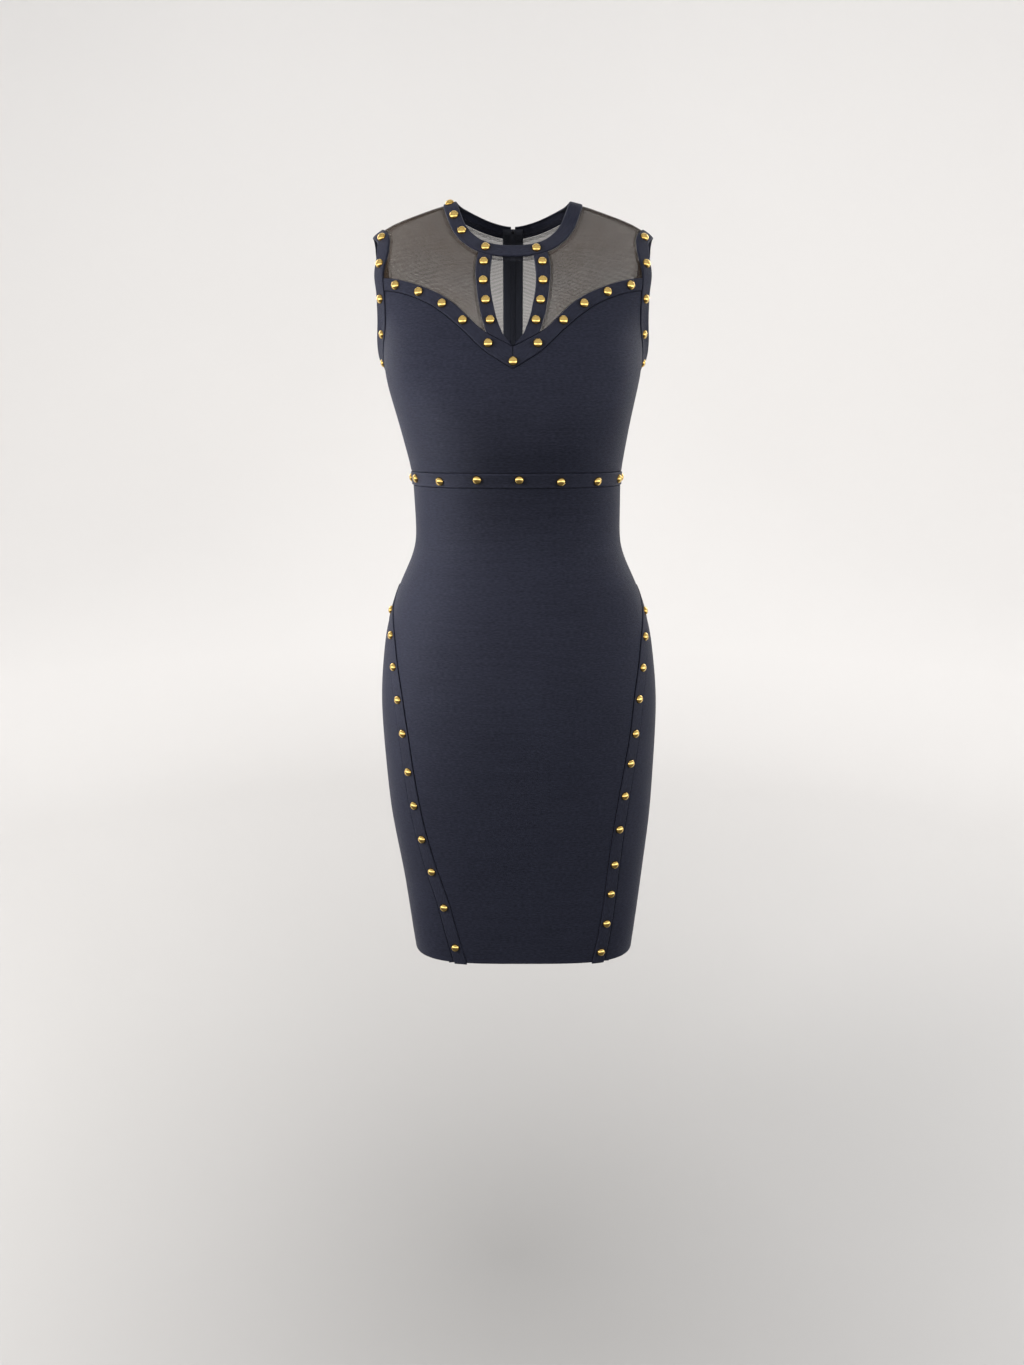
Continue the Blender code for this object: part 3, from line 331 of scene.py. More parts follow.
def seamsOf(side):                 # every seam line of one side, by name
    keyhole, heart = np.array(cut["keyhole"]), np.array(cut["sweetheart"])
    half, waist = cut["bandWidth"] / 2, cut["waist"]
    length, yoke = cut["length"], cut["backYoke"]
    neckMiddle, neckIn, neckOut = neckLines()
    around = np.linspace(0, tau, 361)
    arm = cut["armhole"]
    deep = np.where(np.sin(around) > 0, arm["front"], arm["back"])
    armMiddle = fromSide(-deep * np.sin(around), arm["drop"] - arm["height"] * np.cos(around))
    armEdge, armSeam = shifted(armMiddle, half, True), shifted(armMiddle, -half, True)
    rows = np.array(cut["skirtBand"])
    bandMiddle = smoothLine(rows[:, [2 if side > 0 else 1, 0]])
    bandIn, bandOut = shifted(bandMiddle, -half), shifted(bandMiddle, half)
    keyIn, keyOut = (smoothLine(fromFront(keyhole[:, [k, 0]])) for k in (1, 2))
    heartUp, heartLow = (smoothLine(fromFront(heart[:, [0, k]])) for k in (1, 2))
    keyMiddle = smoothLine(fromFront(np.stack([keyhole[:, 1:].mean(1), keyhole[:, 0]], 1)))
    heartMiddle = smoothLine(fromFront(np.stack([heart[:, 0], heart[:, 1:].mean(1)], 1)))
    sideLine, hemLine = acrossChart(0.5), np.array([[1.0, length], [0.0, length]])
    nubLine, yokeLine = hemLine + (0, cut["nub"]), np.array([[1.0, yoke], [0.4, yoke]])
    top = crossingOf(armSeam[:90], sideLine)       # the ring starts over the shoulder
    upper, lower = crossingOf(armSeam, heartUp), crossingOf(armSeam, heartLow)
    under = crossingOf(armSeam[90:], sideLine) + 90
    behind = crossingOf(armSeam[180:], yokeLine) + 180

    def stretch(line, first, last=None):       # from one crossing to another or to its end
        end = len(line) - 1 if last is None else crossingOf(line, last)
        return piece(line, crossingOf(line, first), end)

    lines = {
        "neckMiddle": neckMiddle, "neckEdge": neckIn, "neckSeam": neckOut,
        "neckKeyBand": stretch(neckOut, keyIn, keyOut),
        "neckFront": stretch(neckOut, keyOut, sideLine),
        "neckBack": stretch(neckOut, sideLine),
        "keyMiddle": stretch(keyMiddle, neckOut),
        "keyIn": stretch(keyIn, neckOut),
        "keyOut": stretch(keyOut, neckOut, heartUp),
        "heartMiddle": heartMiddle,
        "heartKey": piece(heartUp, 0, crossingOf(heartUp, keyOut)),
        "heartUp": stretch(heartUp, keyOut, armSeam),
        "heartLow": piece(heartLow, 0, crossingOf(heartLow, armSeam)),
        "mitre": upright(0.0, heartUp[0, 1], heartLow[0, 1]),
        "armMiddle": armMiddle, "armEdge": armEdge, "armSeam": armSeam,
        "armYoke": piece(armSeam, top, upper),
        "armHeart": piece(armSeam, upper, lower),
        "armFront": piece(armSeam, lower, under),
        "armBack": piece(armSeam, under, behind),
        "armBackYoke": piece(armSeam, behind, top, ring=True),
        "bandMiddle": stretch(bandMiddle, sideLine),
        "bandIn": stretch(bandIn, sideLine, hemLine),
        "bandOut": stretch(bandOut, sideLine, hemLine),
        "bandInLong": stretch(bandIn, sideLine, nubLine),
        "bandOutLong": stretch(bandOut, sideLine, nubLine),
        "centreYoke": upright(1.0, neckOut[-1, 1], yoke),
        "centreBodice": upright(1.0, yoke, waist - half),
        "centreWaist": upright(1.0, waist - half, waist + half),
        "centreSkirt": upright(1.0, waist + half, length),
        "hemBack": level(0.5, 1.0, length),
    }
    for name, reach in (("waistUp", waist - half), ("waistLow", waist + half)):
        lines[name + "Front"] = level(0.0, 0.5, reach)
        lines[name + "Back"] = level(0.5, 1.0, reach)
    strapTop, strapFoot = lines["bandIn"][0, 1], lines["bandOut"][0, 1]
    lines.update({
        "shoulder": upright(0.5, lines["neckFront"][-1, 1], lines["armYoke"][0, 1]),
        "backYoke": level(1.0, lines["armBack"][-1, 0], yoke),
        "sideTop": upright(0.5, lines["armFront"][-1, 1], waist - half),
        "sideHip": upright(0.5, waist + half, strapTop),
        "sideBand": upright(0.5, strapTop, strapFoot),
        "sideLow": upright(0.5, strapFoot, length),
        "nub": level(lines["bandInLong"][-1, 0], lines["bandOutLong"][-1, 0],
                     length + cut["nub"]),
        "hemFront": level(0.0, lines["bandIn"][-1, 0], length),
        "hemSide": level(lines["bandOut"][-1, 0], 0.5, length),
    })
    return {name: line * (side, 1) for name, line in lines.items()}


sides = {"left": 1, "right": -1}
seams = {word: seamsOf(side) for word, side in sides.items()}
back = {word: {name: line[::-1] for name, line in lines.items()}
        for word, lines in seams.items()}
print("seams drawn:", len(seams["left"]), "a side")


# materials: one value or colour flowing between nodes
def operator(operation, reflected=False):
    def combined(self, other):
        return self.maths(operation, *((other, self) if reflected else (self, other)))
    return combined


class Flow:
    __add__, __radd__ = operator("ADD"), operator("ADD", True)
    __sub__, __rsub__ = operator("SUBTRACT"), operator("SUBTRACT", True)
    __mul__, __rmul__ = operator("MULTIPLY"), operator("MULTIPLY", True)
    __truediv__, __rtruediv__ = operator("DIVIDE"), operator("DIVIDE", True)
    __pow__, __rpow__ = operator("POWER"), operator("POWER", True)

    def __init__(self, look, socket):
        self.look, self.socket = look, socket

    def maths(self, operation, *values):
        return self.look.node("ShaderNodeMath", {"operation": operation},
                              dict(enumerate(values)))

    def wave(self, pitch):         # -1 to 1, once each pitch
        return self.maths("SINE", self * (tau / pitch))

    def size(self):
        return self.maths("ABSOLUTE", self)

    def between(self, low, high):  # 0 at low to 1 at high, held there
        return self.look.node("ShaderNodeMapRange", {"clamp": True},
                              {"Value": self, "From Min": low, "From Max": high})


class Look:
    def __init__(self, name, **constants):
        self.material = bpy.data.materials.new(name)
        self.material.use_nodes = True
        self.tree = self.material.node_tree
        self.shader = self.tree.nodes["Principled BSDF"]
        for socket, value in constants.items():
            self.shader.inputs[socket.replace("_", " ")].default_value = value

    def node(self, kind, settings=None, inputs=None, output=0):
        made = self.tree.nodes.new(kind)
        for name, value in (settings or {}).items():
            setattr(made, name, value)
        for name, value in (inputs or {}).items():
            self.plug(made.inputs[name], value)
        return Flow(self, made.outputs[output])

    def plug(self, socket, value):
        if isinstance(value, Flow):
            self.tree.links.new(value.socket, socket)
        else:
            socket.default_value = value

    def feed(self, **values):
        for name, value in values.items():
            self.plug(self.shader.inputs[name.replace("_", " ")], value)
        return self.material

    def clothPlace(self):          # metres across and along the cloth, from its own UVs
        place = self.node("ShaderNodeUVMap", {"uv_map": "cloth"})
        return (place, *(self.node("ShaderNodeSeparateXYZ", {}, {"Vector": place}, axis)
                         for axis in "XY"))

    def noise(self, place, scale, detail=2, stretch=(1, 1, 1)):
        grain = self.node("ShaderNodeMapping", {}, {"Vector": place, "Scale": stretch})
        return self.node("ShaderNodeTexNoise", {}, {"Vector": grain, "Scale": scale,
                                                    "Detail": detail}, "Fac")

    def blend(self, share, first, second):
        return self.node("ShaderNodeMix", {"data_type": "RGBA"},
                         {0: share, 6: first, 7: second}, 2)

    def raised(self, height, distance, strength=1.0):
        return self.node("ShaderNodeBump", {}, {"Height": height, "Distance": distance,
                                                "Strength": strength})


def knitLook(name, dark, light, acrossRibs):
    knit = {"rib": 0.00135, "wale": 0.0009, "depth": 0.00012, "patch": 11, "fibre": 2600,
            "streak": (55, 3, (0.25, 3.2)), "crinkle": (420, 2, (0.5, 1.6))}
    look = Look(name, Sheen_Weight=0.03, Sheen_Roughness=0.5,
                Sheen_Tint=(0.66, 0.70, 0.88, 1), Specular_IOR_Level=0.10)
    place, across, down = look.clothPlace()
    alongRibs, overRibs = (down, across) if acrossRibs else (across, down)
    wale, rib = alongRibs.wave(knit["wale"]), overRibs.wave(knit["rib"])
    streaks, crinkle = (            # scale, detail and draw, which turns with the ribs
        look.noise(place, scale, detail, (*draw[::-1 if acrossRibs else 1], 1))
        for scale, detail, draw in (knit["streak"], knit["crinkle"]))
    patches, fibre = look.noise(place, knit["patch"]), look.noise(place, knit["fibre"])
    shade = (rib * 0.10 + wale * 0.05 + streaks * 0.55 + patches * 0.45 + fibre * 0.3
             + crinkle * 2.0 - 1.15)
    height = rib * 0.5 + wale * 0.25 + fibre * 0.5 + crinkle * 1.2
    return look.feed(Base_Color=look.blend(shade.between(0, 1), dark, light),
                     Roughness=streaks * 0.10 + fibre * 0.1 + 0.44,
                     Normal=look.raised(height, knit["depth"]))


def meshLook(name, dark, light, cover):        # painted shade: denser, so darker, towards the top where the shoulders fall into shade; more open in the fringes
    net = {"hole": 0.00085, "fringe": 0.0062, "sway": 0.011, "depth": 0.00008,
           "paintedShadeFrom": 0.13, "paintedShadeBy": 0.45}
    look = Look(name, Sheen_Weight=0.05, Sheen_Roughness=0.4, Specular_IOR_Level=0.2)
    place, across, down = look.clothPlace()
    threads = (across.wave(net["hole"]) * down.wave(net["hole"])).size()
    sway = look.noise(place, 26, 1) * net["sway"]
    fringe = (across * 0.55 + down + sway).wave(net["fringe"])
    clouds = look.noise(place, 18)
    # the last term paints shade: the net grows more opaque, so darker, towards its top edges
    alpha = (cover + threads * 0.10 + fringe * 0.028 + (clouds - 0.5) * 0.10
             + (net["paintedShadeFrom"] - down) * net["paintedShadeBy"])
    return look.feed(Base_Color=look.blend(clouds.between(0.3, 0.7), dark, light),
                     Roughness=threads * 0.1 + 0.55, Alpha=alpha,
                     Normal=look.raised(threads, net["depth"]))


def goldLook(name, crown, foot):   # pale on the crown; darker and duller round the foot: painted shade and reflection of the dark cloth there, with some tarnish
    look = Look(name, Metallic=1.0)
    place = look.node("ShaderNodeTexCoord", output="Object")
    rim = look.node("ShaderNodeAttribute", {"attribute_name": "rim"}, output="Fac")
    cloud = look.noise(place, 420)
    scratch = look.noise(place, 2400, 3, (1, 0.15, 1))
    # painted shade: the foot is painted darker for the shade and the dark cloth it mirrors, with
    # some real tarnish; the cloud noise varies it
    rimShadeAndTarnish = (rim.between(0.80, 1.02) * 0.75 + (cloud - 0.5) * 0.12).between(0, 1)
    return look.feed(Base_Color=look.blend(rimShadeAndTarnish, crown, foot),
                     Roughness=scratch * 0.06 + rim * 0.04 + 0.10,
                     Normal=look.raised(scratch, 0.000002))


def metalLook(name, dark, light):  # the lacquer is worn through in places
    look = Look(name, Metallic=0.9)
    cloud = look.noise(look.node("ShaderNodeTexCoord", output="Object"), 900, 3)
    return look.feed(Base_Color=look.blend(cloud.between(0.52, 0.72), dark, light),
                     Roughness=cloud * 0.2 + 0.25, Normal=look.raised(cloud, 0.00003))


def tapeLook(name, dark, light):
    look = Look(name, Sheen_Weight=0.03, Specular_IOR_Level=0.2)
    place, across, down = look.clothPlace()
    weave = across.wave(0.0011) * down.wave(0.0008)
    fibre = look.noise(place, 2200)
    shade = (weave * 0.3 + fibre).between(0.1, 1.0)
    return look.feed(Base_Color=look.blend(shade, dark, light),
                     Roughness=fibre * 0.2 + 0.6, Normal=look.raised(weave, 0.0001))


looks = {                          # dark and light of each
    "knit": knitLook("knitCloth", (0.0110, 0.0122, 0.0212, 1),
                     (0.0228, 0.0250, 0.0412, 1), acrossRibs=False),
    "band": knitLook("bandCloth", (0.0122, 0.0134, 0.0228, 1),
                     (0.0252, 0.0273, 0.0440, 1), acrossRibs=True),
    "mesh": meshLook("meshCloth", (0.038, 0.024, 0.014, 1), (0.062, 0.041, 0.026, 1), 0.365),
    "meshHem": meshLook("meshTurned", (0.020, 0.021, 0.030, 1), (0.040, 0.042, 0.058, 1), 0.16),
    "gold": goldLook("studGold", (0.86, 0.60, 0.20, 1), (0.26, 0.15, 0.03, 1)),
    "tape": tapeLook("zipTape", (0.014, 0.016, 0.024, 1), (0.040, 0.043, 0.058, 1)),
    "zip_metal": metalLook("zipMetal", (0.030, 0.030, 0.036, 1), (0.20, 0.20, 0.22, 1)),
}
print("materials mixed:", len(looks))


# cloth
sewing = {"edgeRows": (0.22, 0.36, 0.55, 0.78, 1.05, 1.6, 2.6),        # shares of an edge
          "firstRow": 0.00015, "edgeMost": 0.35, "lowest": 0.0001,
          "dent": 0.00045, "dentReach": 0.0062, "sameSpot": 2e-6,
          "uvAcross": 0.5, "uvDown": 0.06, "uvBand": 0.02}


def rowsOf(length, step, edge):    # shares of a length, closer near both edges
    ends = np.array([sewing["firstRow"], *(share * edge for share in sewing["edgeRows"])])
    ends = ends[ends < length * sewing["edgeMost"]]
    inner = np.linspace(ends[-1], length - ends[-1],
                        max(2, round((length - 2 * ends[-1]) / step) + 1))
    return np.concatenate([ends[:-1], inner, length - ends[:-1][::-1]]) / length


def patchOf(bottom, top, left, right, us, vs, hold=1):  # four sides filled with a net
    # hold keeps the bends of the left and right sides near those sides
    low, high, near, far = at(bottom, us), at(top, us), at(left, vs), at(right, vs)
    u, v = us[:, None, None], vs[None, :, None]
    nearBend = near[None] - (1 - v) * bottom[0] - v * top[0]
    farBend = far[None] - (1 - v) * bottom[-1] - v * top[-1]
    return ((1 - v) * low[:, None] + v * high[:, None]
            + (1 - u) ** hold * nearBend + u ** hold * farBend)


def ribbon(low, high, us, vs):     # a net between two long lines
    return patchOf(low, high, startsOf(low, high), endsOf(low, high), us, vs)


def evenRibbon(low, high, long, short):        # the same in so many even steps
    return ribbon(low, high, np.linspace(0, 1, long + 1), np.linspace(0, 1, short + 1))


def withJoints(shares, *sides):    # a row passes through every joint of these sides
    for parts in sides:
        runs = np.cumsum([lengthsOf(part)[-1] for part in parts])
        for place in runs[:-1] / runs[-1]:
            nearest = np.abs(shares - place).argmin()
            if abs(shares[nearest] - place) * runs[-1] < panels["joint"]:
                shares[nearest] = place
            else:
                shares = np.sort(np.append(shares, place))
    return shares


def edgeDistances(points):         # of each point from the four sides of its net
    def walked(axis):
        steps = np.linalg.norm(np.diff(points, axis=axis), axis=2)
        run = np.cumsum(steps, axis=axis)
        start = np.zeros_like(np.take(run, [0], axis=axis))
        run = np.concatenate([start, run], axis=axis)
        return run, np.take(run, [-1], axis=axis) - run
    return (*walked(0), *walked(1))


def eased(share):                  # 0 to 1 without a kink at either end
    return share * share * (3 - 2 * share)


def folded(distance, wall, radius):            # height of a folded edge
    share = np.clip(distance / radius, 0, 1)
    low = sewing["lowest"]
    return low + (wall - low) * np.sqrt(1 - (1 - share) ** 2)


def sew(name, chart, slot, wall, thick, radius=1e-6, alongBand=0, studs=(), lift=None):
    # a net of chart points becomes a wall of cloth with folded edges
    nu, nv = chart.shape[:2]
    flatChart = chart.reshape(-1, 2)
    ground = onForm(flatChart)
    out = outward(ground)
    near = edgeDistances(ground.reshape(nu, nv, 3))
    height = folded(np.minimum.reduce(near).reshape(-1), wall, radius)
    if lift is not None:
        height = height + lift(flatChart, ground, near)
    for spot in studs:             # each stud presses the band in a little
        gap = np.linalg.norm(ground - onForm(spot)[0], axis=1)
        height = height - sewing["dent"] * np.exp(-(gap / sewing["dentReach"]) ** 4)
    points = (ground + out * height[:, None]).reshape(nu, nv, 3)
    if alongBand is None:          # courses run level round the body
        across = near[0] - near[0][nu // 2] + sewing["uvAcross"]
        uv = np.stack([across, chart[..., 1] + sewing["uvDown"]], 2)
    else:                          # or along the band's own direction
        uv = np.stack([near[2 - 2 * alongBand] + sewing["uvBand"], near[2 * alongBand]], 2)
    net = bmesh.new()
    bmesh.ops.create_grid(net, x_segments=nu - 1, y_segments=nv - 1, size=0.5)
    layer = net.loops.layers.uv.new("cloth")
    for vert in net.verts:
        i, j = round((vert.co.x + 0.5) * (nu - 1)), round((vert.co.y + 0.5) * (nv - 1))
        vert.index = i * nv + j
        vert.co = points[i, j]
    for face in net.faces:
        for loop in face.loops:
            loop[layer].uv = uv[divmod(loop.vert.index, nv)]
    middle = net.faces[:][len(net.faces) // 2]
    middle.normal_update()
    if middle.normal.dot(Vector(out[middle.verts[0].index])) < 0:
        bmesh.ops.reverse_faces(net, faces=net.faces)
    bmesh.ops.remove_doubles(net, verts=net.verts, dist=sewing["sameSpot"])
    made = finish(name, net, slot)
    shell = made.modifiers.new("wall", "SOLIDIFY")
    shell.thickness, shell.offset = thick, -1
    shell.use_even_offset = False
    return made


clothOnly = bpy.data.collections.new("clothOnly")      # what the side glow shines on


def meshOf(name, model):
    mesh = bpy.data.meshes.new(name)
    model.to_mesh(mesh)
    model.free()
    return mesh


def finish(name, model, slot, crisp=50):
    mesh = meshOf(name, model)
    mesh.shade_smooth()
    mesh.set_sharp_from_angle(angle=radians(crisp))
    mesh.materials.append(looks[slot])
    made = bpy.data.objects.new(name, mesh)
    bpy.context.scene.collection.objects.link(made)
    if slot in ("knit", "band"):
        clothOnly.objects.link(made)
    return made


def clean(model):                  # one skin, facing out
    bmesh.ops.remove_doubles(model, verts=model.verts, dist=1e-6)
    bmesh.ops.recalc_face_normals(model, faces=model.faces)


def spun(model, line, axis, steps, angle=tau, closed=False):       # verts turned about an axis
    edges = [model.edges.new(pair) for pair in zip(line, line[1:] + line[:closed])]
    bmesh.ops.spin(model, geom=line + edges, cent=(0, 0, 0), axis=axis, dvec=(0, 0, 0),
                   angle=angle, steps=steps, use_merge=angle == tau)


# panels
panels = {"wall": 0.0012, "thick": 0.0010, "step": 0.0060, "meshWall": 0.0007,
          "meshThick": 0.0005, "edge": 0.0014, "joint": 0.0016, "hold": 3,
          "wander": 0.0003, "calm": 0.04, "waves": 38, "seed": 1.7}


def wander(points, scale, seed):   # a slow, smooth wander from -1 to 1
    return (np.sin(points[:, 0] * scale + seed) * np.cos(points[:, 2] * scale * 1.3 + seed * 2)
            + np.sin(points[:, 1] * scale * 0.9 + points[:, 2] * scale * 0.4 + seed * 3)) / 2


def softly(chart, ground, near):
    inner = np.prod([np.clip(gap / panels["calm"], 0, 1) for gap in near], axis=0)
    return (panels["wander"] * wander(ground, panels["waves"], panels["seed"])
            * eased(inner.reshape(-1)))


made = {}                          # the finished object of each node


def pieceName(node):
    first, *rest = {"neckband": "neck_band", "waistband": "waist_band"}.get(node, node).split("_")
    return first + "".join(part.capitalize() for part in rest)


def panel(node, *parts):           # bottom, top, left and right, each of one or more lines
    sides = [joined(*side) for side in parts]
    long = [lengthsOf(side)[-1] for side in sides]
    us = withJoints(rowsOf(max(long[:2]), panels["step"], panels["edge"]), *parts[:2])
    vs = withJoints(rowsOf(max(long[2:]), panels["step"], panels["edge"]), *parts[2:])
    sheer = node.startswith("yoke")
    made[node] = sew(pieceName(node), patchOf(*sides, us, vs, panels["hold"]),
                     "mesh" if sheer else "knit", panels["meshWall" if sheer else "wall"],
                     panels["meshThick" if sheer else "thick"], panels["edge"], None,
                     lift=softly)


L, R, backL, backR = seams["left"], seams["right"], back["left"], back["right"]
panel("bodice_front", (backR["waistUpFront"], L["waistUpFront"]),
      (backR["heartLow"], L["heartLow"]),
      *((b["sideTop"], b["armFront"]) for b in (backR, backL)))
panel("skirt_front", (backR["hemFront"], L["hemFront"]),
      (backR["waistLowFront"], L["waistLowFront"]),
      *((b["bandIn"], b["sideHip"]) for b in (backR, backL)))
for word, s in seams.items():
    b, tip = back[word], np.stack([s["sideLow"][0]] * 2)
    panel("yoke_front_" + word, (s["heartUp"],), (s["neckFront"],), (b["keyOut"],),
          (b["armYoke"], b["shoulder"]))
    panel("yoke_back_" + word, (b["backYoke"],), (s["neckBack"],),
          (s["armBackYoke"], b["shoulder"]), (b["centreYoke"],))
    panel("bodice_back_" + word, (s["waistUpBack"],), (b["backYoke"],),
          (b["sideTop"], s["armBack"]), (b["centreBodice"],))
    panel("skirt_side_" + word, (s["hemSide"],), (tip,), (b["bandOut"],), (b["sideLow"],))
    panel("skirt_back_" + word, (s["hemBack"],), (s["waistLowBack"],),
          (b["sideLow"], b["sideBand"], b["sideHip"]), (b["centreSkirt"],))
print("panels cut:", len(made))


# studs
stud = {
    "radius": 0.0052, "height": 0.0040, "turns": 24, "foot": 0.0019,
    "profile": ((0.0, 1.0), (0.20, 0.984), (0.39, 0.930), (0.56, 0.842), (0.71, 0.722),
                (0.83, 0.575), (0.92, 0.40), (0.98, 0.21), (1.0, 0.04), (0.985, -0.06),
                (0.0, -0.06)),         # shares out and up
    "neck": {"right": (0.0310, 0.0689, 0.0929, 0.1140, 0.1440, 0.1740, 0.2040),
             "left": (0.0260, 0.1440, 0.1740, 0.2040)},
    "keyhole": (0.0121, 0.0361, 0.0601, 0.0841),
    "sweetheart": (0.0310, 0.0700, 0.1015, 0.1335, 0.1650),
    "skirt": {"right": (0.0275, 0.0645, 0.1035, 0.1435, 0.1845, 0.2325, 0.2755, 0.3195,
                        0.3635, 0.4135, 0.4700),
              "left": (0.0310, 0.0673, 0.1053, 0.1433, 0.1853, 0.2223, 0.2633, 0.3063,
                       0.3533, 0.3933, 0.4343, 0.4743)},
    "armholeFirst": 0.0215, "armhole": 10,
    "waistFirst": 0.0025, "waistPitch": 0.0465,
    "waistLifts": {-3: 0.0008, -2: -0.0010, -1: 0.0016, 0: 0.0016, 1: -0.0008, 2: -0.0012},
    "centreDrop": 0.1795,
}


def studShape():                   # one dome, spun from its profile
    model = bmesh.new()
    rim = model.verts.layers.float.new("rim")
    spun(model, [model.verts.new((out * stud["radius"], 0, up * stud["height"]))
                 for out, up in stud["profile"]], (0, 0, 1), stud["turns"])
    clean(model)
    for vert in model.verts:
        vert[rim] = vert.co.xy.length / stud["radius"]
    return meshOf("studShape", model)


dome = studShape()


def addTo(model, shape, place):    # a copy of a mesh, set in its place
    first = len(model.verts)
    model.from_mesh(shape)
    bmesh.ops.transform(model, matrix=place, verts=model.verts[:][first:])


def studRow(name, spots):
    model = bmesh.new()
    for spot in spots:
        ground = onForm(spot)
        out = outward(ground)[0]
        addTo(model, dome, Matrix.Translation(ground[0] + out * stud["foot"])
              @ Vector(out).to_track_quat("Z", "Y").to_matrix().to_4x4())
    return finish(name, model, "gold", 35)


# bands
band = {"wall": 0.0022, "thick": 0.0018, "edge": 0.0013, "steps": (0.0035, 0.0020),
        "ends": 300}               # steps along and across
flare = {"most": 0.0011, "reach": 0.007, "level": 0.5,
         "swings": ((0.32, 7.3, 0.6), (0.18, 15.1, 2.0))}      # size, rate, start
stand = {"least": 0.0004, "most": 0.0046, "reach": 0.015, "from": 0.09, "over": 0.06,
         "bend": 1.4}
studRows = {}


def bandOf(node, bottom, top, left, right, along, spots, lift=None):
    long, short = (max(lengthsOf(side)[-1] for side in pair)
                   for pair in ((bottom, top), (left, right)))
    us = rowsOf(long, band["steps"][along], band["edge"])
    vs = rowsOf(short, band["steps"][1 - along], band["edge"])
    made[node] = sew(pieceName(node), patchOf(bottom, top, left, right, us, vs), "band",
                     band["wall"], band["thick"], band["edge"], along, spots, lift)
    studRows[node] = studRow(pieceName(node) + "Studs", spots)


def clearOfSlot(line):             # stops short of the zip slider
    whole = lengthsOf(line)[-1]
    return at(line, np.linspace(0, 1 - cut["slot"] / whole, band["ends"]))


def waveLow(chart, ground, near):  # the waistband's lower edge stands off a little
    low = np.clip(1 - near[2].reshape(-1) / flare["reach"], 0, 1)
    swing = flare["level"] + sum(size * np.sin(chart[:, 0] * pi * rate + start)
                                 for size, rate, start in flare["swings"])
    return flare["most"] * low ** 2 * swing


def standOff(chart, ground, near):             # the armhole edge stands off the body
    edge = np.clip(1 - near[2].reshape(-1) / stand["reach"], 0, 1)
    lower = np.clip((-ground[:, 2] - stand["from"]) / stand["over"], 0, 1)
    return edge ** stand["bend"] * (stand["least"] + stand["most"] * eased(lower))


def acrossFront(name):             # a seam from the -X side over the front to the +X side
    return [lines[name + part] for lines, part in
            ((backR, "Back"), (backR, "Front"), (L, "Front"), (L, "Back"))]


neckSpots = np.concatenate([along(seams[word]["neckMiddle"], stud["neck"][word])
                            for word in ("right", "left")])
outer, inner = (joined(clearOfSlot(R[name])[::-1], clearOfSlot(L[name]))
                for name in ("neckSeam", "neckEdge"))
bandOf("neckband", outer, inner, startsOf(outer, inner), endsOf(outer, inner), 0, neckSpots)

waistLine = level(-1.0, 1.0, cut["waist"])
whole = lengthsOf(waistLine)[-1]
first = whole / 2 + stud["waistFirst"]
waistPlaces = range(-int(first / stud["waistPitch"] - 1 / 3),
                    int((whole - first) / stud["waistPitch"] - 1 / 3) + 1)
waistSpots = along(waistLine, [first + stud["waistPitch"] * k for k in waistPlaces])
waistSpots -= [(0, stud["waistLifts"].get(k, 0)) for k in waistPlaces]
bandOf("waistband", joined(*acrossFront("waistLow")), joined(*acrossFront("waistUp")),
       backR["centreWaist"], backL["centreWaist"], 0, waistSpots, waveLow)
for word, s in seams.items():
    b, ring, edges = back[word], s["armMiddle"], (s["armEdge"], s["armSeam"])
    pitch = lengthsOf(ring)[-1] / stud["armhole"]
    bandOf("keyhole_band_" + word, s["heartKey"], s["neckKeyBand"], b["keyIn"], b["keyOut"],
           1, along(s["keyMiddle"], stud["keyhole"]))
    bandOf("sweetheart_band_" + word, s["heartLow"], joined(s["heartKey"], s["heartUp"]),
           b["mitre"], b["armHeart"], 0, along(s["heartMiddle"], stud["sweetheart"]))
    bandOf("armhole_band_" + word, *edges, startsOf(*edges), endsOf(*edges), 0,
           along(ring, [stud["armholeFirst"] + pitch * k for k in range(stud["armhole"])]),
           standOff)
    bandOf("skirt_band_" + word, s["nub"], s["sideBand"], b["bandInLong"], b["bandOutLong"],
           1, along(s["bandMiddle"], stud["skirt"][word]))
centreSpot = fromFront([(0.0, stud["centreDrop"])])
centreStud = studRow("centreStud", centreSpot)
print("bands and studs sewn:", len(studRows), "bands")


# seam allowances, pressed flat inside
allowance = {"width": 0.0070, "yokeSide": 0.0028, "neckSide": 0.0038, "armSide": 0.0026,
             "heartSide": 0.0006, "backSide": 0.0016, "shoulder": 0.0150, "tape": 0.0022,
             "clear": (0.0002, 0.0001, 0.0004),        # of shoulder, back seam and hem
             "hemTurn": 0.020, "hemSteps": (160, 8), "overZip": 0.004,
             "thick": 0.0006, "depth": 0.0010, "second": 0.0007, "third": 0.0014,
             "across": 0.0012, "along": 0.005}         # second and third layers lie deeper
inside = {}


def strip(node, name, line, low, high, slot="knit", depth=0.0, ring=False):
    # from one distance beside a seam to another, under the cloth of a node
    near, far = shifted(line, low, ring), shifted(line, high, ring)
    for edge in (near, far):       # stays on its own side of the back seam
        edge[:, 0] = np.clip(edge[:, 0], -1.0, 1.0)
    chart = evenRibbon(near, far, max(4, round(lengthsOf(line)[-1] / allowance["along"])),
                       max(2, round(abs(high - low) / allowance["across"])))
    inside[sew(name, chart, slot, -allowance["depth"] - depth, allowance["thick"])] = node


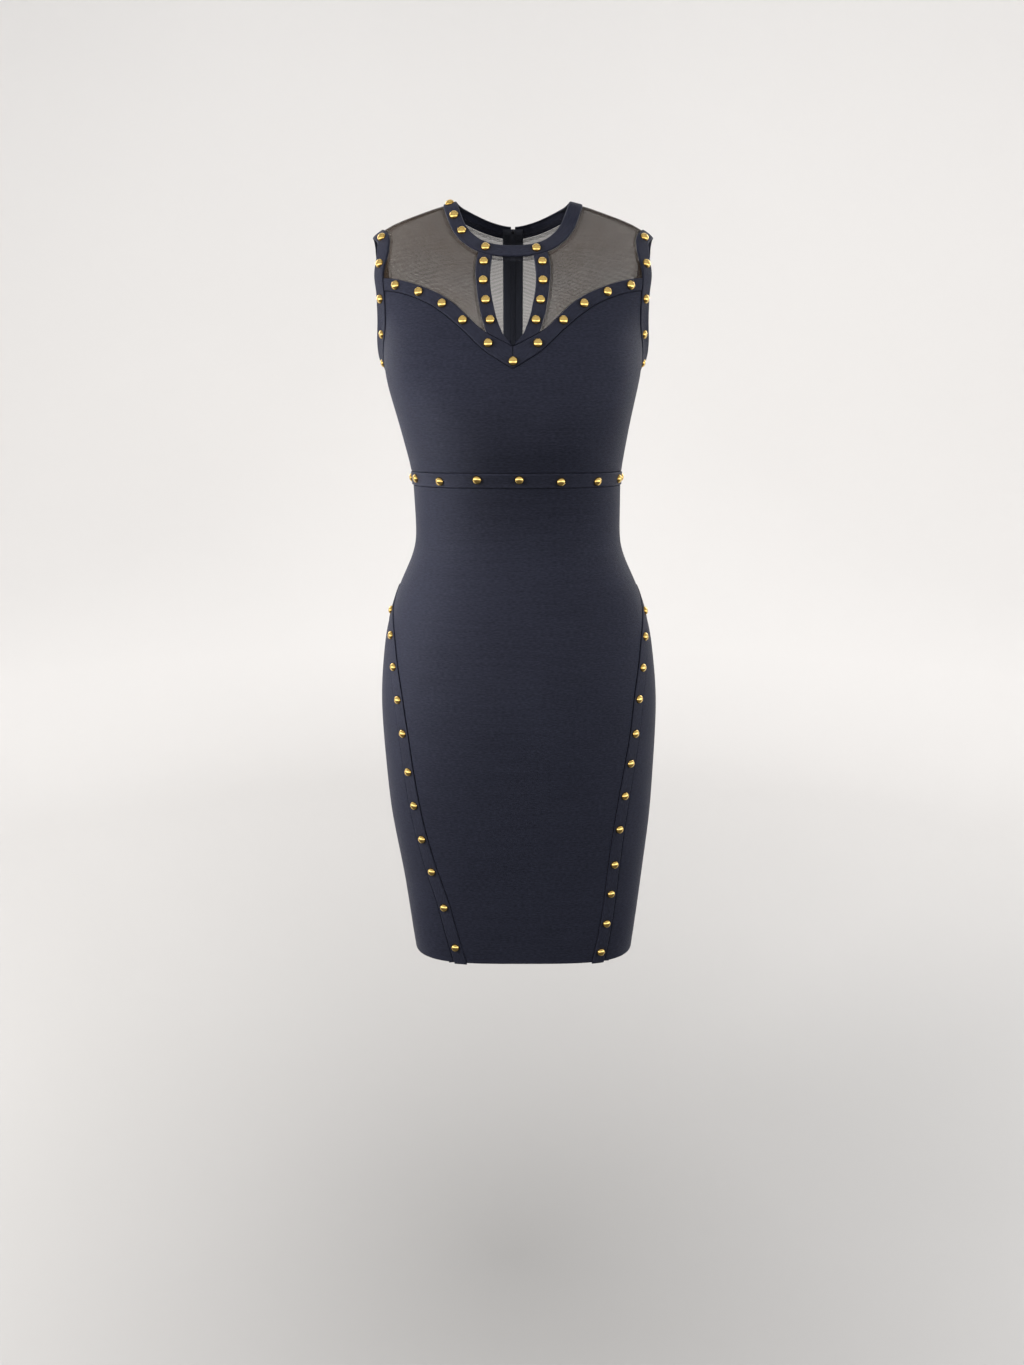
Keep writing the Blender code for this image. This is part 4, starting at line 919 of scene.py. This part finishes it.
wide, second, third = (allowance[part] for part in ("width", "second", "third"))
shoulderClear, backClear, hemClear = allowance["clear"]
for word, s in seams.items():
    turn = sides[word]
    hipSide = joined(s["sideHip"], s["sideBand"], s["sideLow"])
    backSeam = upright(turn, cut["zipEnd"] - allowance["overZip"], cut["length"])
    for node, name, line, low, high, *rest in (        # then slot, depth, ring
            ("bodice_back", "sideAllowance", s["sideTop"], -wide, wide),
            ("skirt_back", "hipAllowance", hipSide, -wide, wide),
            ("skirt_band", "skirtBandAllowanceIn", s["bandIn"], -wide, wide, "knit", second),
            ("skirt_band", "skirtBandAllowanceOut", s["bandOut"], -wide, wide, "knit", second),
            ("keyhole_band", "keyholeAllowance", s["keyOut"], -wide * turn,
             allowance["yokeSide"] * turn, "meshHem", second),
            ("yoke_front", "shoulderAllowance", s["shoulder"], -allowance["shoulder"] * turn,
             -shoulderClear * turn, "meshHem", second),
            # a dark tape over the shoulder ridge, which also paints the ridge's shade
            ("yoke_front", "shoulderTape", s["shoulder"], -allowance["tape"] * turn,
             allowance["tape"] * turn, "band"),
            ("sweetheart_band", "sweetheartUpperAllowance", s["heartUp"], -wide * turn,
             allowance["heartSide"] * turn, "meshHem", second),
            ("sweetheart_band", "sweetheartLowerAllowance", s["heartLow"], -wide * turn,
             wide * turn, "band", second),
            ("yoke_back", "backYokeAllowance", s["backYoke"], -allowance["backSide"] * turn,
             wide * turn, "knit", second),
            ("armhole_band", "armholeAllowance", s["armSeam"], -allowance["armSide"] * turn,
             wide * turn, "meshHem", third, True),
            ("neckband", "neckAllowance", clearOfSlot(s["neckSeam"]),
             -allowance["neckSide"] * turn, wide * turn, "meshHem", third),
            ("skirt_back", "backSeamAllowance", backSeam, -wide * turn, -backClear * turn)):
        strip(node if node == "neckband" else node + "_" + word, name + word.capitalize(),
              line, low, high, *rest)
hemRing = [level(-1.0, 1.0, cut["length"] - up) for up in (hemClear, allowance["hemTurn"])]
inside[sew("hemTurnUp", evenRibbon(*hemRing, *allowance["hemSteps"]), "knit",
           -allowance["depth"] - third, allowance["thick"])] = "skirt_front"
print("allowances pressed:", len(inside))


# zip: tapes and teeth behind the back edges, slider and pull at the top
zipper = {
    "tapeWidth": 0.012, "tapeWall": 0.0009, "tapeEdge": 0.0001, "tapeSteps": (109, 8),
    "gap": 0.0005, "top": 0.0030,
    "pitch": 0.0013, "toothLength": 0.0030, "toothRadius": 0.00055, "toothSides": 6,
    "toothTrim": 0.6, "toothSunk": 0.7, "toothOut": 0.36,      # shares of the tooth
    "toothFirst": 0.006, "toothLast": 0.004, "toothShift": {"left": 0.25, "right": 0.75},
    "body": (0.0042, 0.0042, 0.0080), "bodyOut": 0.0005, "taper": 0.72, "round": 0.0006,
    "ear": (0.0008, 0.0034, 0.0024), "earPlace": (0.0015, 0.0037), "earRound": 0.0003,
    "pinRadius": 0.00045, "pinHalf": 0.0022, "pinHeight": 0.0044, "pinTrim": 0.0002,
    "pinSides": 14,
}
tab = {                            # the pull: an eye, a neck and a teardrop plate
    "ring": 0.0015, "hole": 0.00075, "half": 0.0008, "turns": 24, "ringRound": 0.00018,
    "neck": 0.0016, "neckIn": 0.0004, "neckOver": 0.0006, "neckRound": 0.0002,
    "plateTop": 0.0030, "length": 0.0160, "width": 0.0044, "wall": 0.0009,
    "raise": 0.0008, "plateRound": 0.00022, "sides": 40,
    "shape": (0.76, 0.24),         # share of the width, and how much the foot adds
    "holeShare": 0.50, "holeLength": 0.0052, "holeDrop": 0.18,
    "crisp": (1.0, 1.2),           # angles that count as an edge of the eye and the plate
}
neckSpot = onForm(seams["left"]["neckMiddle"][-1])
neckOut = outward(neckSpot)[0]
zipPlace = (Matrix.Translation(neckSpot[0])
            @ Matrix.Rotation(np.arctan2(neckOut[2], neckOut[1]), 4, "X"))


def pill(model, half, radius, segments, trim):         # a rounded rod along X
    before = set(model.verts)
    spun(model, [model.verts.new(spot) for spot in
                 ((-half, 0, 0), (-half, radius - trim, 0), (-half + trim, radius, 0),
                  (half - trim, radius, 0), (half, radius - trim, 0), (half, 0, 0))],
         (1, 0, 0), segments)
    return [vert for vert in model.verts if vert not in before]


def bevelled(model, edges, offset, segments=2):
    bmesh.ops.bevel(model, geom=edges, offset=offset, segments=segments, profile=0.5,
                    affect="EDGES", material=-1)


def edgesOf(verts):                # each once, in the same order on every run
    return list(dict.fromkeys(edge for vert in verts for edge in vert.link_edges))


def brick(model, size, middle, trim, taper=1.0):
    # a block with rounded edges, narrower at its foot
    made = bmesh.ops.create_cube(model, size=1)["verts"]
    for vert in made:
        share = taper if vert.co.z < 0 else 1.0
        vert.co = Vector((vert.co.x * size[0] * share, vert.co.y * size[1],
                          vert.co.z * size[2])) + Vector(middle)
    bevelled(model, edgesOf(made), trim, 3)


def crispEdges(model, angle, among=None):      # sharp edges, of these verts if any are given
    return [edge for edge in model.edges if (among is None or set(edge.verts) <= among)
            and len(edge.link_faces) == 2 and edge.calc_face_angle(0) > angle]


tooth = bmesh.new()
pill(tooth, zipper["toothLength"] / 2, zipper["toothRadius"], zipper["toothSides"],
     zipper["toothRadius"] * zipper["toothTrim"])
clean(tooth)
toothShape = meshOf("toothShape", tooth)
toothDepth = zipper["gap"] + zipper["tapeWall"] + zipper["toothRadius"] * zipper["toothSunk"]
for word, s in seams.items():
    turn = sides[word]
    line = joined(upright(turn, s["neckEdge"][-1, 1] + zipper["top"], s["neckSeam"][-1, 1]),
                  s["centreYoke"], s["centreBodice"], s["centreWaist"],
                  upright(turn, s["centreWaist"][-1, 1], cut["zipEnd"]))
    edges = [shifted(line, -offset * turn)
             for offset in (zipper["tapeEdge"], zipper["tapeWidth"])]
    for edge in edges:
        edge[:, 0] = np.abs(edge[:, 0]) * turn
    made["zip_tape_" + word] = sew("zipTape" + word.capitalize(),
                                   evenRibbon(*edges, *zipper["tapeSteps"]), "tape",
                                   -zipper["gap"], zipper["tapeWall"])
    ground = onForm(along(line, np.arange(
        zipper["toothFirst"] + zipper["toothShift"][word] * zipper["pitch"],
        lengthsOf(line)[-1] - zipper["toothLast"], zipper["pitch"])))
    teeth = bmesh.new()
    for spot, out, ahead in zip(ground, outward(ground), np.gradient(ground, axis=0)):
        high = Vector(out)
        sideways = Vector(ahead).cross(high).normalized()
        sideways *= 1 if sideways.x * turn > 0 else -1
        place = Vector(spot) - high * toothDepth
        place += sideways * zipper["toothLength"] * zipper["toothOut"]
        addTo(teeth, toothShape, Matrix.Translation(place)
              @ Matrix((sideways, high.cross(sideways), high)).transposed().to_4x4())
    teethOf = finish("zipTeeth" + word.capitalize(), teeth, "tape", 40)
    inside[teethOf] = "zip_tape_" + word

slider = bmesh.new()
brick(slider, zipper["body"], (0, zipper["bodyOut"], 0), zipper["round"], zipper["taper"])
for turn in (-1, 1):
    brick(slider, zipper["ear"], (zipper["earPlace"][0] * turn, zipper["earPlace"][1], 0),
          zipper["earRound"])
pin = pill(slider, zipper["pinHalf"], zipper["pinRadius"], zipper["pinSides"],
           zipper["pinTrim"])
bmesh.ops.translate(slider, verts=pin, vec=(0, zipper["pinHeight"], 0))
clean(slider)
slider.transform(zipPlace)
made["zip_slider"] = finish("zipSlider", slider, "zip_metal", 40)


def pullTab():
    model = bmesh.new()
    half, hole, wall = tab["half"], tab["hole"], tab["wall"]
    spun(model, [model.verts.new((x, y, 0)) for x, y in
                 ((-half, hole), (-half, tab["ring"]), (half, tab["ring"]), (half, hole))],
         (1, 0, 0), tab["turns"], closed=True)
    bmesh.ops.remove_doubles(model, verts=model.verts, dist=1e-6)
    bevelled(model, crispEdges(model, tab["crisp"][0]), tab["ringRound"])
    neckTop = hole + tab["neckIn"]
    neckLength = tab["plateTop"] - neckTop
    brick(model, (tab["neck"], wall, neckLength + tab["neckOver"]),
          (0, 0, -neckTop - neckLength / 2), tab["neckRound"])
    middle = -tab["plateTop"] - tab["length"] / 2 + tab["raise"]
    wide, tall = tab["width"] / 2, tab["length"] / 2
    rims = []
    for wideHere, tallHere, drop, shape in (           # the plate's outline, its long hole
            (wide, tall, 0.0, tab["shape"]),
            (wide * tab["holeShare"], tab["holeLength"] / 2,
             -tab["length"] * tab["holeDrop"], (1.0, 0.0))):
        ring = bmesh.ops.create_circle(model, segments=tab["sides"], radius=1.0)["verts"]
        for vert in ring:
            x, z = vert.co.x, vert.co.y
            vert.co = (x * wideHere * (shape[0] - shape[1] * z), -wall / 2,
                       middle + drop + z * tallHere)
        rims.append(edgesOf(ring))
    plate = bmesh.ops.bridge_loops(model, edges=rims[0] + rims[1])["faces"]
    grown = bmesh.ops.extrude_face_region(model, geom=plate)["geom"]
    top = [part for part in grown if isinstance(part, bmesh.types.BMVert)]
    bmesh.ops.translate(model, verts=top, vec=(0, wall, 0))
    walls = set(top) | {vert for edge in rims[0] + rims[1] for vert in edge.verts}
    bevelled(model, crispEdges(model, tab["crisp"][1], walls), tab["plateRound"])
    bmesh.ops.recalc_face_normals(model, faces=model.faces)
    model.transform(zipPlace @ Matrix.Translation((0, zipper["pinHeight"], 0)))
    return finish("zipPull", model, "zip_metal", 40)


pull = pullTab()
print("zip closed")


# every piece rides on its body and stands for its node
for thing in [*made.values(), *studRows.values(), centreStud, *inside]:
    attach(thing, "dress")
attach(pull, "pull")
for node, thing in {**made, "stud_front_center": centreStud, "zip_pull": pull}.items():
    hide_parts(node)

# the cut of what shows of each piece, without allowances: width, length and flat area;
# the knit is cut 7 percent narrower than it is worn, the bands 2 to 5 percent shorter
cuts = {
    "bodice_front": (0.437, 0.199, 0.0663), "bodice_back": (0.192, 0.159, 0.0283),
    "skirt_front": (0.366, 0.591, 0.1555), "skirt_back": (0.2235, 0.591, 0.1200),
    "skirt_side": (0.100, 0.450, 0.0339), "yoke_front": (0.125, 0.170, 0.0111),
    "yoke_back": (0.175, 0.165, 0.0227), "neckband": (0.500, 0.0165, None),
    "waistband": (0.693, 0.0168, None), "keyhole_band": (0.116, 0.021, 0.0021),
    "sweetheart_band": (0.182, 0.023, 0.0033), "armhole_band": (0.412, 0.0178, None),
    "skirt_band": (0.495, 0.0185, None), "zip_tape": (0.012, 0.467, None),
}
for node, thing in made.items():
    cutOf = cuts.get(node.replace("_left", "").replace("_right", ""))
    if cutOf:
        onIt = [extra for extra, owner in inside.items() if owner == node]
        onIt += [row for owner, row in studRows.items() if owner == node]


# studio: a pale floor that sweeps up all round, soft lamps, and the camera
studio = {"floor": -1.42, "flat": 2.2, "radius": 3.4, "top": 5.0, "steps": 48, "bend": 14,
          "aim": 1.0, "paint": (0.76, 0.745, 0.73), "underfoot": 0.30,
          "glow": (3.0, 2.91, 2.79, 1), "horizon": 0.35}
stageOnly = bpy.data.collections.new("stageOnly")      # what the room lamp shines on


def floorPaint(look, place, x, y, z):          # deeper under the dress
    # painted shade: the -X side is painted a little darker to offset the key lamp's extra light
    # on it
    shade = (((x * x + y * y) ** 0.5).between(0.0, 3.0) * 0.95
             + look.noise(place, 0.6, 1) * 0.1 - x.between(0.6, -1.6) * 0.06)
    deep = (*(part * studio["underfoot"] for part in studio["paint"]), 1)
    look.feed(Base_Color=look.blend(shade.between(0, 1), deep, (*studio["paint"], 1)))


def frontGlow(look, place, x, y, z):
    # what gloss mirrors: dim below, pale above and a bright line between
    rise = (z + studio["horizon"]) / (x * x + y * y) ** 0.5
    line = rise.between(-0.26, -0.14) * rise.between(0.22, 0.10)
    aside = x.size().between(0.8, 3.0) - x.between(0.0, 3.0) * 0.4
    level = (rise.between(-0.7, -0.20) * 0.14 + rise.between(-0.14, 0.0) * 0.34
             + line * (aside * 1.9 + 1.5) + 0.12)
    look.feed(Base_Color=(0, 0, 0, 1), Emission_Strength=1.0, Emission_Color=look.blend(
        level.between(0, 3), (0, 0, 0, 1), studio["glow"]))


def sweep(name, first, paint, toCamera=True, toGloss=True, toCloth=True):
    # half a bowl, spun from its side view; the glow closes overhead
    model = bmesh.new()
    bend, up = studio["radius"] - studio["flat"], studio["top"] - studio["floor"]
    line = [(0, 0), (studio["flat"] / 2, 0)]
    line += [(studio["flat"] + bend * sin(turn), bend * (1 - cos(turn)))
             for turn in np.linspace(0, pi / 2, studio["bend"])]
    line += [(studio["radius"], up)] if toCamera else [(studio["radius"], up), (0, up)]
    spun(model, [model.verts.new((out * cos(first), out * sin(first), studio["floor"] + rise))
                 for out, rise in line], (0, 0, 1), studio["steps"], pi)
    bmesh.ops.remove_doubles(model, verts=model.verts, dist=1e-5)
    for face in model.faces:
        face.normal_update()
        if face.normal.dot(Vector((0, 0, studio["aim"])) - face.calc_center_median()) < 0:
            face.normal_flip()
    mesh = meshOf(name, model)
    mesh.shade_smooth()
    look = Look(name + "Paint", Roughness=0.9, Specular_IOR_Level=0.1)
    place = look.node("ShaderNodeTexCoord", output="Object")
    paint(look, place, *(look.node("ShaderNodeSeparateXYZ", {}, {"Vector": place}, axis)
                         for axis in "XYZ"))
    mesh.materials.append(look.material)
    bowl = bpy.data.objects.new(name, mesh)
    bpy.context.scene.collection.objects.link(bowl)
    stageOnly.objects.link(bowl)
    bowl.visible_camera, bowl.visible_glossy = toCamera, toGloss
    bowl.visible_diffuse = bowl.visible_shadow = toCloth


sweep("backSweep", 0.0, floorPaint)
sweep("frontSweep", pi, floorPaint, toGloss=False, toCloth=False)
sweep("frontMirror", pi, frontGlow, toCamera=False, toCloth=False)


def lamp(name, power, place, target=None, size=0.5, colour=(1, 1, 1), gloss=True, body=True,
         only=None):               # a panel, or a bulb without a shadow if it has no target
    light = bpy.data.lights.new(name, "AREA" if target else "POINT")
    light.energy, light.color = power, colour
    thing = bpy.data.objects.new(name, light)
    thing.location = place
    if target:
        light.shape, light.size, light.size_y = "RECTANGLE", *size
        aim = Vector(target) - Vector(place)
        thing.rotation_euler = aim.to_track_quat("-Z", "Y").to_euler()
    else:
        light.shadow_soft_size, light.use_shadow = size, False
    thing.visible_camera, thing.visible_glossy, thing.visible_diffuse = False, gloss, body
    thing.light_linking.receiver_collection = only
    bpy.context.scene.collection.objects.link(thing)


lamp("keyLamp", 94, (-2.1, -0.8, 0.35), (0, 0, -0.4), (1.6, 1.1), (1, 0.98, 0.96), False)
lamp("fillLamp", 42, (2.1, -0.8, 0.3), (0, 0, -0.4), (1.6, 0.9), (0.97, 0.98, 1), False)
lamp("topLamp", 4, (-0.2, -0.5, 2.3), (0, 0, -0.5), (1.6, 1.6), gloss=False)
lamp("sideGlow", 1.9, (-0.40, -0.20, -0.42), (0, -0.12, -0.42), (0.26, 0.40), body=False,
     only=clothOnly)
lamp("wallLamp", 15, (0, 1.3, 2.6), (0, 3.2, -0.4), (3.0, 1.0))
lamp("roomLamp", 80, (0, 0, 0.9), gloss=False, only=stageOnly)
lamp("backLampLeft", 14, (-1.8, 1.6, 0.8), (0, 0, -0.3), (0.8, 1.6))
lamp("backLampRight", 14, (1.8, 1.6, 0.8), (0, 0, -0.3), (0.8, 1.6))
world = bpy.data.worlds.new("dimRoom")
world.use_nodes = True
for name, value in (("Color", (0.96, 0.97, 1.0, 1)), ("Strength", 0.25)):
    world.node_tree.nodes["Background"].inputs[name].default_value = value
bpy.context.scene.world = world
bpy.context.scene.view_settings.view_transform = "Standard"

view = {"place": (0, -1.283, -0.2555), "pitch": 13.4, "focal": 1040, "centre": 513,
        "width": 1024, "height": 1365, "sensor": 36, "near": 0.05, "far": 30}
camera = bpy.data.cameras.new("frontCamera")
camera.sensor_width = view["sensor"]
camera.lens = view["sensor"] * view["focal"] / view["height"]
camera.shift_x = (view["width"] / 2 - view["centre"]) / view["height"]
camera.clip_start, camera.clip_end = view["near"], view["far"]
eye = bpy.data.objects.new("frontCamera", camera)
eye.location = view["place"]
eye.rotation_euler = (radians(90 - view["pitch"]), 0, 0)
bpy.context.scene.collection.objects.link(eye)
bpy.context.scene.camera = eye
print("studio lit")
